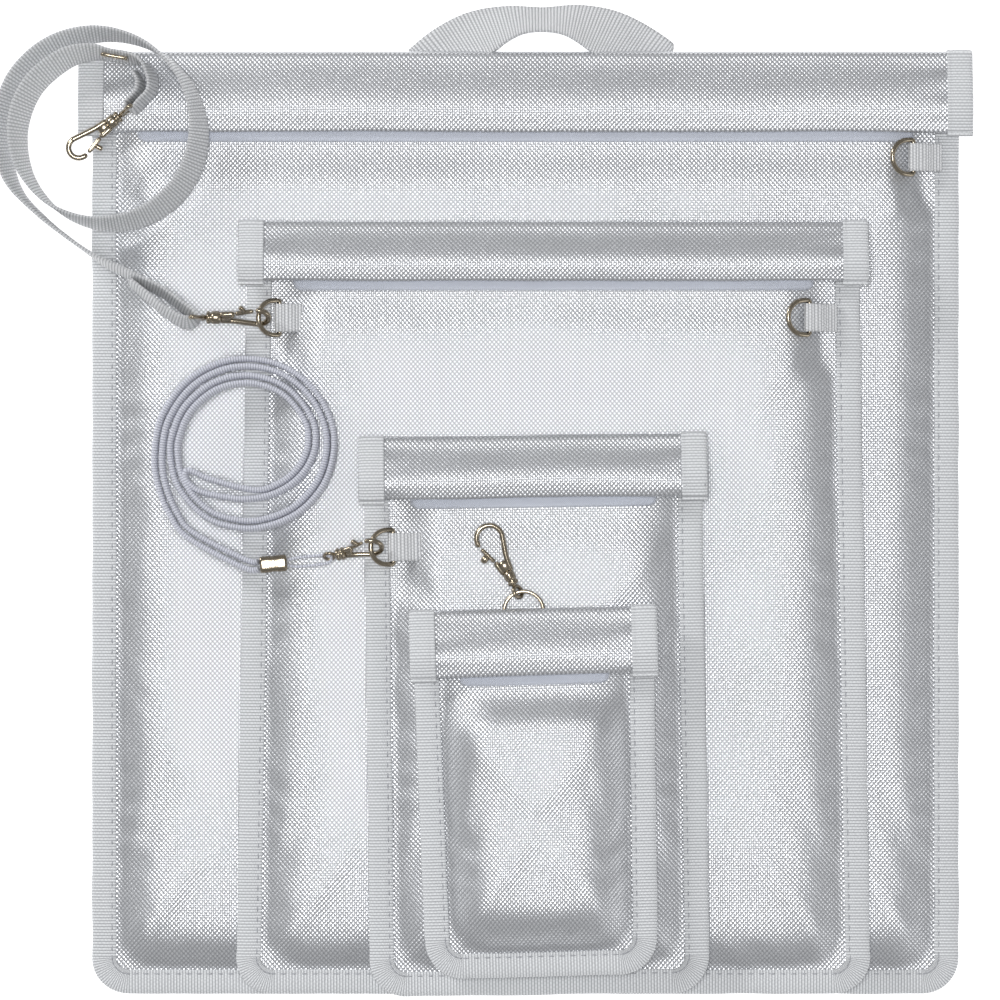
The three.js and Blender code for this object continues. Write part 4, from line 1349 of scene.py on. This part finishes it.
def slide_wire(name, spots, step, closed):
    """spots are (along the strap, up) places in mm."""
    line = [slide_middle + (slide_along * along + slide_up * up) * mm for along, up in spots]
    if closed:
        line = smooth_line(line, step * mm)
    return tube(
        name, line, SLIDE_WIRE, SLIDE_WIRE, lambda i: slide_normal, warm_plate, 12, closed=closed,
    )


slide_frame = [
    (-4.5, -6.8), (-4.5, 0), (-4.5, 6.8), (-3.7, 7.5), (0, 7.5), (3.7, 7.5), (4.5, 6.8), (4.5, 0),
    (4.5, -6.8), (3.7, -7.5), (0, -7.5), (-3.7, -7.5), (-4.5, -6.8),
]
slide_pieces = [
    slide_wire("slide_frame", slide_frame, 0.9, True),
    slide_wire("slide_bar", [(0, -7.5 + k) for k in range(16)], 1, False),
]
stands_for(joined("strap_slide_ladder", slide_pieces), "plated_metal", "strap_slide")

# %% [markdown]
# ### Lanyard
# The lanyard is a flat cord laid double. It leaves the crimp, winds round to its own far loop and
# comes back beside itself, so the way back is the way out moved inwards by one strand.

# %% Lanyard
STRAND = 2.9  # from one strand's middle to the other's
CORD_TALL, CORD_WIDE = 4.6, 2.2
crimp_heading = radians(5)
crimp_along = Vector((cos(crimp_heading), sin(crimp_heading), 0))
crimp_across = Vector((-sin(crimp_heading), cos(crimp_heading), 0))
cord_end = Vector((-102.3, -24.8, 24.9))
lanyard_middle = Vector((-107.5, 20.25, 22.6))
wound = [  # (degrees round the coil, radius)
    (238, 41.2), (222, 39.0), (205, 36.9), (186, 35.3), (160, 34.4), (130, 34.1), (100, 34.2),
    (70, 34.4), (40, 34.5), (10, 34.3), (-20, 33.4), (-50, 32.2), (-80, 31.2), (-105, 30.8),
    (-125, 30.6), (-150, 30.0), (-172, 29.2), (-190, 28.7), (-215, 28.2), (-245, 27.9), (-275, 27.8),
    (-305, 27.9), (-335, 27.8), (-355, 27.0), (-372, 25.4), (-390, 23.4), (-410, 21.4), (-432, 20.0),
    (-455, 19.8), (-475, 20.8),
]
far_loop = [
    (-491, 23.2), (-502, 25.2), (-513, 26.0), (-519, 24.6), (-515, 22.0), (-504, 19.4), (-488, 16.6),
]
inner = [(angle, radius - STRAND) for angle, radius in reversed(wound)]
back_along = [(-463, 15.4)] + inner[2:]
lanyard_points = [
    cord_end + crimp_across * -1.5, cord_end + crimp_across * -1.6 + Vector((-6, 0.5, -0.8)),
]
lanyard_points += [
    polar(lanyard_middle, angle, radius, 0) for angle, radius in wound + far_loop + back_along
]
lanyard_points += [
    cord_end + crimp_across * 1.6 + Vector((-5, 0.4, -0.8)), cord_end + crimp_across * 1.5,
]
lanyard_line = smooth_line([point * mm for point in lanyard_points], 1.0 * mm)
lanyard_length = line_length(lanyard_line)
print("lanyard is", round(lanyard_length, 3), "m long")
lanyard_lean = Vector((-0.25, 0.22, 0.94))
lanyard = tube(
    "lanyard_cord", lanyard_line, CORD_TALL, CORD_WIDE, lambda i: lanyard_lean, lanyard_weave, 16,
    power=2.6,
)
stands_for(lanyard, "lanyard_cord", "lanyard_coil", "lanyard_lead")

# %% [markdown]
# ### Crimp
# A pressed metal sleeve holds both ends of the lanyard, and a thin round cord runs on from it to
# the claw. The sleeve is an open wall with a slight waist, as a crimping tool leaves it.

# %% Crimp and thin loop
sleeve_start = cord_end + crimp_along * 0.4
sleeve_profile = (  # (along, share of its full size)
    (0, 0.82), (0.3, 1.0), (3, 1.0), (5, 0.93), (7, 1.0), (9.6, 1.0), (10, 0.82),
)


def lay_sleeve(u, v):
    along, scale = along_section(sleeve_profile, v)
    angle = tau * u
    flat = (abs(cos(angle)) ** 4 + abs(sin(angle)) ** 4) ** -0.25
    across, up = cos(angle) * flat * 2.95 * scale, sin(angle) * flat * 1.95 * scale
    return (sleeve_start + crimp_along * along + crimp_across * across + Vector((0, 0, up))) * mm


sleeve = laid_cloth("sleeve_wall", (10, 10), 28, 36, lay_sleeve, 0.5, warm_plate, closed=True)
thin = [  # (along, across, up)
    (10.2, 1.0, 0), (14, 1.5, 0), (20, 1.7, 0), (25.6, 1.5, 0), (27.4, 0, 0), (25.6, -1.5, 0),
    (20, -1.9, 0.2), (14, -1.9, 0), (10.2, -1.0, 0),
]
thin_line = smooth_line([
    (sleeve_start + crimp_along * a + crimp_across * c + Vector((0, 0, z))) * mm for a, c, z in thin
], 0.8 * mm)
thin_loop = tube(
    "thin_cord_loop", thin_line, 1.1, 1.1, lambda i: Vector((0, 0, 1)), lanyard_weave, 12,
)
stands_for(sleeve, "plated_metal", "lanyard_crimp")
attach(thin_loop, "small_bag")
print("crimp and thin loop made")

# %% [markdown]
# ### What the cords are
# Each cord's line is listed as its points. The lengths are measured on the lines the tubes follow.

[list(point) for point in strap_line]
[list(point) for point in lanyard_line]

# %% [markdown]
# ## Carry handle
# The handle is one length of wide webbing. Bending it sideways makes it stand up on its inner
# edge at the top of the arch, so from above it looks narrow there and wide at its feet. A flat
# ribbon cut to the same outline would miss that tilt and the shading that comes with it.

# %% Handle
large = by_name["large"]
HANDLE_WIDTH = 23.0
HANDLE_MIDDLE = 6
PINCH = 0.52  # how much narrower it looks at the top of the arch
handle_points = [
    (-38.0, -7.5, 1.0), (-29.0, 0.2, 1.4), (-17.5, 7.4, 3.0), (-5, 11.8, 5.0), (7, 12.6, 5.2),
    (19, 11.8, 4.8), (31.5, 7.2, 3.0), (43, 0.2, 1.4), (52, -6.5, 1.0),
]
handle_line = smooth_line([Vector(point) for point in handle_points], 1.2)


def lay_handle(u, v):
    last = len(handle_line) - 1
    i = round(v * last)
    tangent = handle_line[min(i + 1, last)] - handle_line[max(i - 1, 0)]
    tangent.normalize()
    top = exp(-((handle_line[i].x - HANDLE_MIDDLE) / 22) ** 2)
    tip = radians(8 + 22 * top)
    outward = Vector((-tangent.y, tangent.x, 0)).normalized()
    across = outward * cos(tip) - Vector((0, 0, sin(tip)))
    width = (2 * u - 1) * HANDLE_WIDTH / 2 * (1 - PINCH * top)
    point = handle_line[i] + across * width
    point.z = max(point.z, 0.7) if point.y < 1.5 else max(point.z - 2.0 * top, 0.7)
    point.x = min(max(point.x, -45.5), 57.5)
    return large.place(point.x, max(point.y, -7), point.z)


handle = laid_cloth(
    "handle_webbing", (HANDLE_WIDTH, line_length(handle_line)), 16, len(handle_line) - 1,
    lay_handle, 1.3, webbing,
)
stands_for(handle, "webbing", "large_handle")
print("handle is", round(line_length(handle_line)), "mm along its middle")

# %% [markdown]
# ## Floor
# A plain white floor under the set catches its soft shadow. It is part of the stage, not of the
# bags.

# %% Floor
bpy.ops.mesh.primitive_plane_add(size=6, location=(0, 0, -0.001))
floor = bpy.context.object
floor.name = "studio_floor"
floor_paint, _, floor_shader = new_material("studio white")
floor_shader.inputs["Base Color"].default_value = (1, 1, 1, 1)
floor_shader.inputs["Roughness"].default_value = 1
floor_shader.inputs["Emission Color"].default_value = (1, 1, 1, 1)
floor_shader.inputs["Emission Strength"].default_value = 0.6
floor.data.materials.append(floor_paint)
